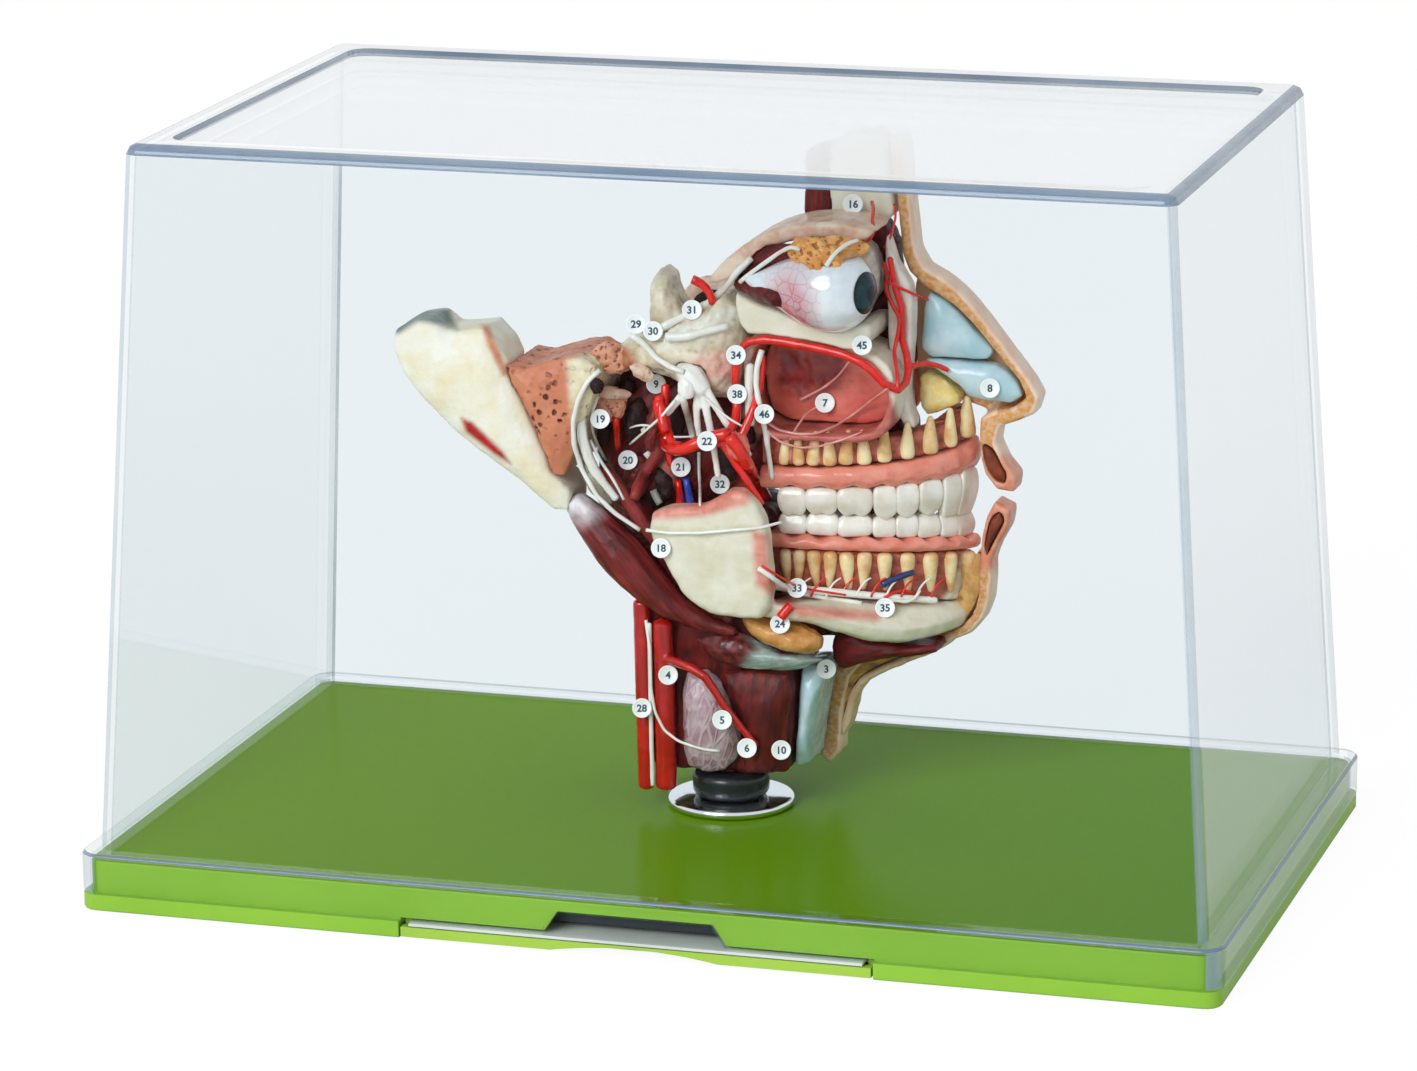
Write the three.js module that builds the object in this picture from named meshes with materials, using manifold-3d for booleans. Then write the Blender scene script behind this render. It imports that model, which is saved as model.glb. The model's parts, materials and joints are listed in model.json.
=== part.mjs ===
// Anatomical half-head teaching model on a moulded base, under a clear dust cover.
// Units are millimetres, +Z is up, +X is the way the face looks, and the origin lies on the
// surface that the base stands on, under the middle of the base.
import * as THREE from "three";
import { mergeVertices } from "three/addons/utils/BufferGeometryUtils.js";
import Module from "manifold-3d";

const wasm = await Module();
wasm.setup();

// Driving dimensions of the case
const skirtWidth = 335;
const skirtDepth = 194;
const baseHeight = 15;
const footBandHeight = 5;
const footBandReach = 2;
const baseWall = 2.5;
const baseCornerRadius = 5;
const baseEdgeRadius = 1;
const coverWall = 2.5;
const coverHeadroom = 4.8;
const coverPanelInset = 9.5;
const coverPanelDrop = 1.2;
const coverPanelRadius = 6;
const coverTopInsetX = 12.5;
const coverTopInsetY = 8.5;
const shoulderReach = 5;
const shoulderThickness = 2;
const lipWall = 2;
const coverFit = 0.5;
const coverCornerRadius = 4;
const coverTopRadius = 3;

// Driving dimensions of the card drawer
const drawerWidth = 140;
const drawerLength = 150;
const drawerPlate = 1.6;
const drawerFrontThickness = 3;
const drawerFrontHeight = 3;
const drawerSideWall = 2;
const drawerSideHeight = 4.5;
const drawerRunning = 0.5;
const fingerArcWidth = 50;
const fingerArcRise = 2.2;
const cardThickness = 0.9;
const runnerWidth = 4;
const notchTopWidth = 46;
const notchBottomWidth = 54;
const lipClearance = 0.5;

// Driving dimensions of the stand
const studX = -2;
const studY = 4;
const studRadius = 4;
const studRise = 34;
const nutHeight = 3.6;
const nutAcrossFlats = 13;
const footDiscRadius = 19;
const footDiscThickness = 2.6;
const collarRadius = 11.5;
const collarHeight = 8;

// Driving dimensions of the head model: every share below is a hundredth of the module
const headX = 0;
const headY = 4;
const headModule = 100;
const headRiseShare = 190;
const seatGap = 0.3;
const overrun = 1;
const medianShare = 28;

const paints = {
  moss: { color: 0x7fa53c, roughness: 0.45, metalness: 0 },
  clear: { color: 0xdfeef4, roughness: 0.05, metalness: 0 },
  card: { color: 0xd9d9d4, roughness: 0.8, metalness: 0 },
  chrome: { color: 0xd5dadd, roughness: 0.12, metalness: 1 },
  blackened: { color: 0x1d2a2c, roughness: 0.35, metalness: 0.6 },
  skin: { color: 0xe9b493, roughness: 0.5, metalness: 0 },
  bone: { color: 0xe9e0c2, roughness: 0.55, metalness: 0 },
  flesh: { color: 0x8c1f1b, roughness: 0.4, metalness: 0 },
  darkFlesh: { color: 0x4d1014, roughness: 0.4, metalness: 0 },
  gum: { color: 0xe97a68, roughness: 0.35, metalness: 0 },
  tooth: { color: 0xefece0, roughness: 0.25, metalness: 0 },
  root: { color: 0xe8cf93, roughness: 0.4, metalness: 0 },
  mucosa: { color: 0xb5423c, roughness: 0.35, metalness: 0 },
  artery: { color: 0xcf1d10, roughness: 0.3, metalness: 0 },
  vein: { color: 0x1f58c9, roughness: 0.3, metalness: 0 },
  nerve: { color: 0xf1efe6, roughness: 0.4, metalness: 0 },
  cartilage: { color: 0xa9d3da, roughness: 0.4, metalness: 0 },
  fat: { color: 0xe9bf66, roughness: 0.45, metalness: 0 },
  gland: { color: 0xd98a35, roughness: 0.5, metalness: 0 },
  sclera: { color: 0xeef3f5, roughness: 0.12, metalness: 0 },
  marrow: { color: 0xc9704a, roughness: 0.6, metalness: 0 },
  fascia: { color: 0x8fa09c, roughness: 0.45, metalness: 0 },
  glandPink: { color: 0xc98d90, roughness: 0.45, metalness: 0 },
};

const materials = Object.fromEntries(
  Object.entries(paints).map(([name, look]) => [name, new THREE.MeshStandardMaterial({ name, ...look })]),
);

// A closed geometry as a solid, and a solid as a geometry
function solidOf(geometry) {
  const bare = geometry.clone();
  bare.deleteAttribute("normal");
  bare.deleteAttribute("uv");
  const merged = mergeVertices(bare, 1e-4);
  const solid = new wasm.Manifold(
    new wasm.Mesh({
      numProp: 3,
      vertProperties: new Float32Array(merged.attributes.position.array),
      triVerts: new Uint32Array(merged.index.array),
    }),
  );
  return solid;
}

function geometryOf(solid) {
  const { numProp, vertProperties, triVerts } = solid.getMesh();
  const corners = new Float32Array((vertProperties.length / numProp) * 3);
  for (let i = 0; i < corners.length / 3; i += 1) {
    corners.set(vertProperties.subarray(i * numProp, i * numProp + 3), i * 3);
  }
  const geometry = new THREE.BufferGeometry();
  geometry.setAttribute("position", new THREE.BufferAttribute(corners, 3));
  geometry.setIndex(new THREE.BufferAttribute(new Uint32Array(triVerts), 1));
  geometry.computeVertexNormals();
  return geometry;
}

// The same solid with its faces moved outwards, which presses a socket with a gap round the piece
function swollen(solid, by) {
  const { numProp, vertProperties, triVerts } = solid.getMesh();
  const count = vertProperties.length / numProp;
  const corner = (i) => new THREE.Vector3(...vertProperties.subarray(i * numProp, i * numProp + 3));
  const normals = Array.from({ length: count }, () => new THREE.Vector3());
  const touching = Array.from({ length: count }, () => []);
  for (let i = 0; i < triVerts.length; i += 3) {
    const [a, b, c] = [...triVerts.subarray(i, i + 3)];
    const face = corner(b).sub(corner(a)).cross(corner(c).sub(corner(a))).normalize();
    for (const vertex of [a, b, c]) {
      normals[vertex].add(face);
      touching[vertex].push(face);
    }
  }
  const steepest = 0.55;
  const corners = normals.map((normal, i) => {
    normal.normalize();
    const lean = Math.max(steepest, Math.min(...touching[i].map((face) => face.dot(normal))));
    return corner(i).addScaledVector(normal, by / lean);
  });
  const geometry = new THREE.BufferGeometry().setFromPoints(corners);
  geometry.setIndex(new THREE.BufferAttribute(new Uint32Array(triVerts), 1));
  return solidOf(geometry);
}

function largestBody(solid) {
  return solid.decompose().reduce((most, body) => (body.volume() > most.volume() ? body : most));
}

// Rings of equal length joined into one closed skin, with a point at the middle of each end
function ringLoft(rings, startPoint, endPoint) {
  const count = rings[0].length;
  const corners = [startPoint, ...rings.flat(), endPoint];
  const faces = [];
  const ringStart = (ring) => 1 + ring * count;
  for (let i = 0; i < count; i += 1) {
    const next = (i + 1) % count;
    faces.push(0, ringStart(0) + next, ringStart(0) + i);
    for (let ring = 0; ring < rings.length - 1; ring += 1) {
      const a = ringStart(ring) + i;
      const b = ringStart(ring) + next;
      const c = ringStart(ring + 1) + i;
      const d = ringStart(ring + 1) + next;
      faces.push(a, b, c, b, d, c);
    }
    faces.push(corners.length - 1, ringStart(rings.length - 1) + i, ringStart(rings.length - 1) + next);
  }
  const geometry = new THREE.BufferGeometry();
  geometry.setFromPoints(corners);
  geometry.setIndex(faces);
  const solid = solidOf(geometry);
  if (solid.volume() > 0) return solid;
  const turned = [];
  for (let i = 0; i < faces.length; i += 3) turned.push(faces[i], faces[i + 2], faces[i + 1]);
  geometry.setIndex(turned);
  return solidOf(geometry);
}

const middleOf = (ring) =>
  ring.reduce((sum, corner) => sum.add(corner), new THREE.Vector3()).divideScalar(ring.length);

// A rectangle with round corners, centred on the origin
function roundedRectangle(width, depth, radius) {
  const x = width / 2;
  const y = depth / 2;
  const shape = new THREE.Shape();
  shape.moveTo(-x + radius, -y);
  shape.lineTo(x - radius, -y);
  shape.absarc(x - radius, -y + radius, radius, -Math.PI / 2, 0);
  shape.lineTo(x, y - radius);
  shape.absarc(x - radius, y - radius, radius, 0, Math.PI / 2);
  shape.lineTo(-x + radius, y);
  shape.absarc(-x + radius, y - radius, radius, Math.PI / 2, Math.PI);
  shape.lineTo(-x, -y + radius);
  shape.absarc(-x + radius, -y + radius, radius, Math.PI, 1.5 * Math.PI);
  return shape;
}

const cornerSteps = 2;

function rectangleRing(width, depth, radius, height) {
  const shape = roundedRectangle(width, depth, radius);
  const corners = mergeNear(shape.getPoints(cornerSteps));
  return corners.map((corner) => new THREE.Vector3(corner.x, corner.y, height));
}

function mergeNear(points) {
  const nearest = 1e-6;
  return points.filter((point, i) => point.distanceTo(points[(i + 1) % points.length]) > nearest);
}

function block(width, depth, bottom, top, x = 0, y = 0) {
  const geometry = new THREE.BoxGeometry(width, depth, top - bottom);
  geometry.translate(x, y, (top + bottom) / 2);
  return solidOf(geometry);
}

function upright(shape, bottom, top) {
  const geometry = new THREE.ExtrudeGeometry(shape, {
    depth: top - bottom,
    bevelEnabled: false,
    curveSegments: cornerSteps,
  });
  geometry.translate(0, 0, bottom);
  return solidOf(geometry);
}

// Case: base, cover, drawer and card
const footBandWidth = skirtWidth + 2 * footBandReach;
const footBandDepth = skirtDepth + 2 * footBandReach;
const drawerFront = -footBandDepth / 2;
const topPlateUnderside = baseHeight - baseWall;

function ringAt(width, depth, height, inset = 0) {
  const radius = Math.max(baseCornerRadius - inset, baseEdgeRadius);
  return rectangleRing(width - 2 * inset, depth - 2 * inset, radius, height);
}

function castBase() {
  const outside = [
    ringAt(footBandWidth, footBandDepth, 0, baseEdgeRadius / 2),
    ringAt(footBandWidth, footBandDepth, baseEdgeRadius / 2),
    ringAt(footBandWidth, footBandDepth, footBandHeight),
    ringAt(skirtWidth, skirtDepth, footBandHeight),
    ringAt(skirtWidth, skirtDepth, baseHeight - baseEdgeRadius),
    ringAt(skirtWidth, skirtDepth, baseHeight - baseEdgeRadius * 0.3, baseEdgeRadius * 0.3),
    ringAt(skirtWidth, skirtDepth, baseHeight, baseEdgeRadius),
  ];
  const shell = ringLoft(outside, new THREE.Vector3(0, 0, 0), new THREE.Vector3(0, 0, baseHeight));
  const hollow = upright(
    roundedRectangle(skirtWidth - 2 * baseWall, skirtDepth - 2 * baseWall, baseCornerRadius - baseWall),
    -overrun,
    topPlateUnderside,
  );
  let base = shell.subtract(hollow);
  const runnerDepth = drawerLength + drawerRunning;
  const runnerY = -skirtDepth / 2 + baseWall + runnerDepth / 2;
  const runnerX = drawerWidth / 2 + drawerRunning + runnerWidth / 2;
  for (const side of [-1, 1]) {
    base = base.add(
      block(runnerWidth, runnerDepth, drawerRunning, topPlateUnderside + overrun, side * runnerX, runnerY),
    );
  }
  const ribX = (skirtWidth / 2 + runnerX) / 2;
  for (const side of [-1, 1]) {
    base = base.add(
      block(baseWall, skirtDepth - baseWall, baseWall, topPlateUnderside + overrun, side * ribX, 0),
    );
  }
  const bossHeight = topPlateUnderside - bossFoot + overrun;
  const boss = new THREE.CylinderGeometry(collarRadius, collarRadius, bossHeight, 16);
  boss.rotateX(Math.PI / 2);
  boss.translate(studX, studY, (topPlateUnderside + overrun + bossFoot) / 2);
  base = base.add(solidOf(boss));
  const slot = block(
    drawerWidth + 2 * drawerRunning,
    2 * (footBandReach + baseWall + overrun),
    -overrun,
    drawerTop + drawerRunning,
    0,
    drawerFront,
  );
  return base.subtract(slot).subtract(fingerNotch(0)).subtract(studBore(-overrun, baseHeight + overrun));
}

// The trapezoid cut-out in the front that a finger reaches the card through
function fingerNotch(grow) {
  const bottom = notchBottomWidth / 2 + grow;
  const top = notchTopWidth / 2 + grow;
  const shoulder = drawerTop + drawerRunning;
  const ceiling = topPlateUnderside - baseEdgeRadius + grow;
  const shape = new THREE.Shape([
    new THREE.Vector2(-bottom, -overrun),
    new THREE.Vector2(bottom, -overrun),
    new THREE.Vector2(bottom, shoulder),
    new THREE.Vector2(top, ceiling),
    new THREE.Vector2(-top, ceiling),
    new THREE.Vector2(-bottom, shoulder),
  ]);
  const reach = 2 * (footBandReach + baseWall + overrun);
  const geometry = new THREE.ExtrudeGeometry(shape, { depth: reach, bevelEnabled: false });
  geometry.rotateX(Math.PI / 2);
  geometry.translate(0, drawerFront + reach / 2, 0);
  return solidOf(geometry);
}

const drawerTop = drawerRunning + drawerSideHeight;
const bossFoot = drawerTop + drawerRunning + nutHeight + 2 * seatGap;

function studBore(bottom, top) {
  const bore = new THREE.CylinderGeometry(studRadius + seatGap, studRadius + seatGap, top - bottom, 16);
  bore.rotateX(Math.PI / 2);
  bore.translate(studX, studY, (top + bottom) / 2);
  return solidOf(bore);
}

function castDrawer() {
  const backY = drawerFront + drawerLength;
  const middleY = (drawerFront + backY) / 2;
  const plate = block(drawerWidth, drawerLength, drawerRunning, drawerRunning + drawerPlate, 0, middleY);
  const frontBand = block(
    drawerWidth,
    drawerFrontThickness,
    drawerRunning,
    drawerRunning + drawerFrontHeight,
    0,
    drawerFront + drawerFrontThickness / 2,
  );
  let drawer = plate.add(frontBand);
  for (const side of [-1, 1]) {
    drawer = drawer.add(
      block(
        drawerSideWall,
        drawerLength - footBandReach - baseWall,
        drawerRunning,
        drawerTop,
        side * (drawerWidth - drawerSideWall) / 2,
        (drawerFront + footBandReach + baseWall + backY) / 2,
      ),
    );
  }
  drawer = drawer.add(
    block(drawerWidth, drawerSideWall, drawerRunning, drawerTop, 0, backY - drawerSideWall / 2),
  );
  const arcRadius = (fingerArcWidth ** 2 / 4 + fingerArcRise ** 2) / (2 * fingerArcRise);
  const arc = new THREE.CylinderGeometry(arcRadius, arcRadius, 4 * drawerFrontThickness, 120);
  arc.translate(0, drawerFront, drawerRunning + fingerArcRise - arcRadius);
  return drawer.subtract(solidOf(arc));
}

function castCard() {
  const cardWidth = drawerWidth - 2 * drawerSideWall - 2 * drawerRunning;
  const bottom = drawerRunning + drawerFrontHeight + seatGap;
  const shelfDepth = drawerLength - drawerSideWall - drawerRunning;
  const card = block(cardWidth, shelfDepth, bottom, bottom + cardThickness, 0, drawerFront + shelfDepth / 2);
  return card;
}

const headTop = () => headFoot + headRiseShare * unit;
const coverTop = () => headTop() + coverHeadroom + coverPanelDrop + coverWall;

function coverRing(height, inset, radius = Math.max(coverCornerRadius - inset, baseEdgeRadius)) {
  const share = (height - baseHeight) / (coverTop() - baseHeight);
  const width = skirtWidth - shoulderReach - 2 * coverTopInsetX * share - 2 * inset;
  const depth = skirtDepth - shoulderReach - 2 * coverTopInsetY * share - 2 * inset;
  return rectangleRing(width, depth, radius, height);
}

// The top is a shallow tray: a raised border runs round a panel that lies a little lower
function castCover() {
  const top = coverTop();
  const panel = top - coverPanelDrop;
  const underBorder = coverPanelInset - coverWall;
  const lipInnerWidth = skirtWidth + 2 * coverFit;
  const lipInnerDepth = skirtDepth + 2 * coverFit;
  const lipFoot = footBandHeight + lipClearance;
  const shoulderUnder = baseHeight + seatGap;
  const shoulderTop = shoulderUnder + shoulderThickness;
  const lipRing = (grow, height) =>
    rectangleRing(lipInnerWidth + 2 * grow, lipInnerDepth + 2 * grow, baseCornerRadius + grow, height);
  const rings = [
    coverRing(panel, coverPanelInset + coverPanelDrop, coverPanelRadius - coverPanelDrop),
    coverRing(top, coverPanelInset, coverPanelRadius),
    coverRing(top, coverTopRadius),
    coverRing(top - coverTopRadius * 0.3, coverTopRadius * 0.3),
    coverRing(top - coverTopRadius, 0),
    coverRing(shoulderTop, 0),
    lipRing(lipWall * 0.6, shoulderTop),
    lipRing(lipWall, shoulderTop - lipWall * 0.4),
    lipRing(lipWall, lipFoot),
    lipRing(0, lipFoot),
    lipRing(0, shoulderUnder),
    coverRing(shoulderUnder, coverWall),
    coverRing(top - coverTopRadius, coverWall),
    coverRing(top - coverWall, coverTopRadius),
    coverRing(top - coverWall, underBorder, coverPanelRadius),
    coverRing(panel - coverWall, underBorder + coverPanelDrop, coverPanelRadius),
  ];
  const shell = ringLoft(rings, new THREE.Vector3(0, 0, panel), new THREE.Vector3(0, 0, panel - coverWall));
  return shell.subtract(fingerNotch(coverFit));
}

// Stand: chromed foot disc, dark collar, stud and nut
function turned(profile, segments) {
  const geometry = new THREE.LatheGeometry(profile.map(([r, z]) => new THREE.Vector2(r, z)), segments);
  geometry.rotateX(Math.PI / 2);
  geometry.translate(studX, studY, 0);
  return solidOf(geometry);
}

const discFoot = baseHeight + seatGap;
const discTop = discFoot + footDiscThickness;
const collarFoot = discTop + seatGap;
const headFoot = collarFoot + collarHeight + seatGap;

function turnFootDisc() {
  const bore = studRadius + seatGap;
  const lip = footDiscThickness * 0.4;
  const profile = [
    [bore, discFoot],
    [footDiscRadius, discFoot],
    [footDiscRadius, discFoot + lip],
    [footDiscRadius - lip, discTop],
    [bore, discTop],
    [bore, discFoot],
  ];
  return turned(profile, 24);
}

function turnCollar() {
  const bore = studRadius + seatGap;
  const waist = collarRadius * 0.86;
  const profile = [
    [bore, collarFoot],
    [collarRadius, collarFoot],
    [collarRadius, collarFoot + collarHeight * 0.25],
    [waist, collarFoot + collarHeight * 0.5],
    [waist, collarFoot + collarHeight],
    [bore, collarFoot + collarHeight],
    [bore, collarFoot],
  ];
  return turned(profile, 16);
}

const nutTop = bossFoot - seatGap;
const studFoot = nutTop - nutHeight;
const studTop = headFoot + studRise;

function turnStud() {
  const chamfer = studRadius * 0.25;
  const profile = [
    [0, studFoot],
    [studRadius, studFoot],
    [studRadius, studTop - chamfer],
    [studRadius - chamfer, studTop],
    [0, studTop],
  ];
  return turned(profile, 16);
}

function cutNut() {
  const cornerRadius = nutAcrossFlats / Math.sqrt(3);
  const hexagon = new THREE.CylinderGeometry(cornerRadius, cornerRadius, nutHeight, 6);
  hexagon.rotateX(Math.PI / 2);
  hexagon.translate(studX, studY, nutTop - nutHeight / 2);
  return solidOf(hexagon).subtract(studBore(studFoot - overrun, nutTop + overrun));
}

// Head model: every outline below is in hundredths of the module, seen from the side, with x
// towards the face and z up from the neck cut. Depths run from the midline (positive) outwards.
const moduleShares = 100;
const unit = headModule / moduleShares;
const at = (x, y, z) => new THREE.Vector3(x * unit, y * unit, z * unit);

function smoothRing(outlineShares, steps) {
  const curve = new THREE.CatmullRomCurve3(
    outlineShares.map(([x, z]) => at(x, 0, z)),
    true,
    "centripetal",
  );
  return curve.getSpacedPoints(steps).slice(0, steps);
}

// A cushion-shaped casting: flat back, upright rim and a face that crowns towards the viewer
function domed({ outlineShares, backShare, rimShare, crownShare, steps = 18 }) {
  const flat = smoothRing(outlineShares, steps);
  const centre = middleOf(flat);
  const ringAtDepth = (scale, depthShare) =>
    flat.map((corner) => {
      const moved = corner.clone().sub(centre).multiplyScalar(scale).add(centre);
      moved.y = depthShare * unit;
      return moved;
    });
  const crownDepth = (scale) => crownShare + (rimShare - crownShare) * scale ** 3;
  const scaleShares = [0.9, 0.68, 0.36];
  const rings = [
    ringAtDepth(1, backShare),
    ringAtDepth(1, rimShare),
    ...scaleShares.map((scale) => ringAtDepth(scale, crownDepth(scale))),
  ];
  const start = centre.clone().setY(backShare * unit);
  const end = centre.clone().setY(crownShare * unit);
  return ringLoft(rings, start, end);
}

// A plate with rounded edges, cut to an outline
function plate({ outlineShares, backShare, frontShare, edgeShare = 1, steps = 40 }) {
  const edge = edgeShare * unit;
  const ring = smoothRing(outlineShares, steps);
  const shape = new THREE.Shape(ring.map((corner) => new THREE.Vector2(corner.x, corner.z)));
  const depth = (backShare - frontShare) * unit;
  const geometry = new THREE.ExtrudeGeometry(shape, {
    depth: depth - 2 * edge,
    bevelEnabled: true,
    bevelThickness: edge,
    bevelSize: edge,
    bevelOffset: -edge,
    bevelSegments: 1,
    curveSegments: 1,
  });
  geometry.rotateX(Math.PI / 2);
  geometry.translate(0, backShare * unit - edge, 0);
  return solidOf(geometry);
}

// A vessel, nerve or muscle belly: round rings along a smooth path, thick where the radii say
function strand({ pathShares, radiusShares, steps = 10, sides = 8, flatten = 1 }) {
  const curve = new THREE.CatmullRomCurve3(
    pathShares.map((corner) => at(...corner)),
    false,
    "centripetal",
  );
  const frames = curve.computeFrenetFrames(steps, false);
  const radiusAt = (along) => {
    const place = along * (radiusShares.length - 1);
    const low = Math.min(Math.floor(place), radiusShares.length - 1);
    const high = Math.min(low + 1, radiusShares.length - 1);
    return THREE.MathUtils.lerp(radiusShares[low], radiusShares[high], place - low) * unit;
  };
  const rings = [];
  for (let step = 0; step <= steps; step += 1) {
    const centre = curve.getPointAt(step / steps);
    const radius = radiusAt(step / steps);
    const ring = [];
    for (let side = 0; side < sides; side += 1) {
      const turn = (2 * Math.PI * side) / sides;
      ring.push(
        centre
          .clone()
          .addScaledVector(frames.normals[step], Math.cos(turn) * radius)
          .addScaledVector(frames.binormals[step], Math.sin(turn) * radius * flatten),
      );
    }
    rings.push(ring);
  }
  const startPoint = curve.getPointAt(0).addScaledVector(frames.tangents[0], -radiusAt(0) * 0.5);
  const endPoint = curve.getPointAt(1).addScaledVector(frames.tangents[steps], radiusAt(1) * 0.5);
  return ringLoft(rings, startPoint, endPoint);
}

// The arches in plan: each is a quarter ellipse from behind the last molar to the midline
const toothArchShares = { backShare: 14, lengthShare: 54, halfShare: 32 };
const jawArchShares = { backShare: -5, lengthShare: 72, halfShare: 48 };
const archStations = 9;
const archTurnShares = { firstShare: -0.064, jawFirstShare: 0.1, rowLastShare: 0.955, lastShare: 0.98 };

function archPlace(arch, turn, inwardShare) {
  return {
    x: arch.backShare + (arch.lengthShare - inwardShare) * Math.sin(turn),
    y: medianShare - (arch.halfShare - inwardShare) * Math.cos(turn),
  };
}

// A place on an arch as a turn, and a turn as a share of the quarter circle
const turnOf = (share) => (share * Math.PI) / 2;
const shareOf = (turn) => (turn * 2) / Math.PI;

function alongArch(turn) {
  const { firstShare, lastShare } = archTurnShares;
  return (shareOf(turn) - firstShare) / (lastShare - firstShare);
}

const blend = (from, to, along, power = 1) => from + (to - from) * Math.max(along, 0) ** power;

// A band that follows an arch. sectionAt gives each station's corners as [inward, height, lean]
// shares, where the lean moves a corner from the given arch to the arch of the teeth.
function archBand(arch, firstShare, sectionAt) {
  const rings = [];
  for (let station = 0; station <= archStations; station += 1) {
    const turn = turnOf(THREE.MathUtils.lerp(firstShare, archTurnShares.lastShare, station / archStations));
    const corners = sectionAt(alongArch(turn), turn).map(([inward, height, lean = 0]) => {
      const place = archPlace(arch, turn, inward);
      const leaned = archPlace(toothArchShares, turn, inward);
      const x = THREE.MathUtils.lerp(place.x, leaned.x, lean);
      const y = THREE.MathUtils.lerp(place.y, leaned.y, lean);
      return at(x, Math.min(y, medianShare), height);
    });
    rings.push(corners);
  }
  return ringLoft(rings, middleOf(rings[0]), middleOf(rings[archStations]));
}

// Teeth from the last molar to the central incisor: share of the row's length, thickness across
// it and sharpness of the biting edge
const toothShares = [
  { widthShare: 8.6, thickShare: 9.5, tipShare: 0.75 },
  { widthShare: 9.8, thickShare: 10, tipShare: 0.78 },
  { widthShare: 10.6, thickShare: 10, tipShare: 0.8 },
  { widthShare: 7.2, thickShare: 8.5, tipShare: 0.62 },
  { widthShare: 7.2, thickShare: 8.5, tipShare: 0.6 },
  { widthShare: 7.8, thickShare: 8, tipShare: 0.35 },
  { widthShare: 7, thickShare: 6.8, tipShare: 0.28 },
  { widthShare: 8.8, thickShare: 7, tipShare: 0.25 },
];

function archLength(toTurn) {
  const samples = 60;
  let length = 0;
  let last = archPlace(toothArchShares, 0, 0);
  for (let i = 1; i <= samples; i += 1) {
    const next = archPlace(toothArchShares, (toTurn * i) / samples, 0);
    length += Math.hypot(next.x - last.x, next.y - last.y);
    last = next;
  }
  return length;
}

function placeTeeth() {
  const rowTurn = turnOf(archTurnShares.rowLastShare);
  const nearest = 1e-4;
  const total = toothShares.reduce((sum, tooth) => sum + tooth.widthShare, 0);
  const stretch = archLength(rowTurn) / total;
  let run = 0;
  return toothShares.map((tooth) => {
    const middle = (run + tooth.widthShare / 2) * stretch;
    run += tooth.widthShare;
    let low = 0;
    let high = rowTurn;
    while (high - low > nearest) {
      const half = (low + high) / 2;
      if (archLength(half) < middle) low = half;
      else high = half;
    }
    const turn = (low + high) / 2;
    return { ...tooth, turn, widthShare: tooth.widthShare * stretch, along: alongArch(turn) };
  });
}

const teethOnArch = placeTeeth();
const squarenessShare = 0.75;
const squared = (value) => Math.sign(value) * Math.abs(value) ** squarenessShare;

// One crown or root on the arch, from its levels: [height, width share, thickness share]
function archPeg(tooth, levels, sides, insetShare, leanShare = 0) {
  const sine = Math.sin(tooth.turn);
  const cosine = Math.cos(tooth.turn);
  const { lengthShare, halfShare } = toothArchShares;
  const along = new THREE.Vector3(lengthShare * cosine, halfShare * sine, 0).normalize();
  const outward = new THREE.Vector3(along.y, -along.x, 0);
  const rings = levels.map(([height, widthScale, thickScale], level) => {
    const lean = (leanShare * level) / (levels.length - 1);
    const middle = archPlace(toothArchShares, tooth.turn, insetShare + tooth.thickShare / 2 + lean);
    const ring = [];
    for (let side = 0; side < sides; side += 1) {
      const turn = (2 * Math.PI * (side + 0.5)) / sides;
      const across = (squared(Math.cos(turn)) * tooth.widthShare * widthScale) / 2;
      const deep = (squared(Math.sin(turn)) * tooth.thickShare * thickScale) / 2;
      const x = middle.x + along.x * across + outward.x * deep;
      const y = middle.y + along.y * across + outward.y * deep;
      ring.push(at(x, Math.min(y, medianShare), height));
    }
    return ring;
  });
  return ringLoft(rings, middleOf(rings[0]), middleOf(rings[rings.length - 1]));
}

const joined = (solids) => solids.reduce((whole, solid) => whole.add(solid));

// Heights of the jaws' levels: at the back of the arch, at the front and how late they rise
const levelShares = {
  upperBite: [80.2, 77, 2],
  upperNeck: [87.2, 90.4, 2],
  upperGumLow: [87.6, 90.8, 2],
  upperGumHigh: [93.6, 100, 2],
  upperBedLow: [94, 100.4, 2],
  upperRootNeck: [94.6, 101, 2],
  upperRootEnd: [101.6, 110.4, 3],
  upperBedHigh: [102, 109.4, 3],
  lowerBite: [79.6, 76.4, 2],
  lowerNeck: [73.4, 69.6, 2],
  lowerGumHigh: [73, 69.2, 2],
  lowerGumLow: [69.2, 65.2, 2],
  lowerBedHigh: [68.8, 64.8, 2],
  lowerRootNeck: [68.2, 64.2, 2],
  lowerRootEnd: [58.4, 52, 1.4],
  lowerBedLow: [55.8, 49.8, 1.2],
  jawLedge: [55.4, 49.4, 1.2],
};
function levelAt(name, along) {
  const [back, front, power] = levelShares[name];
  return blend(back, front, along, power);
}

// Crowns, from the neck to the biting edge: place between them, width and thickness. The
// biting edge is as thick as the tooth's tip.
const crownLevelShares = [[0, 0.9, 0.8], [0.5, 1.06, 1], [0.84, 1.02, 0.7]];
const biteWidthShare = 0.88;

function crownRow(jaw, insetShare) {
  return teethOnArch.map((tooth) => {
    const neck = levelAt(`${jaw}Neck`, tooth.along);
    const bite = levelAt(`${jaw}Bite`, tooth.along);
    const levels = crownLevelShares.map(([place, width, thickness]) => [
      blend(neck, bite, place),
      width,
      Math.min(thickness, (1 + tooth.tipShare) / 2),
    ]);
    return archPeg(tooth, [...levels, [bite, biteWidthShare, tooth.tipShare]], 8, insetShare);
  });
}

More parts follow.
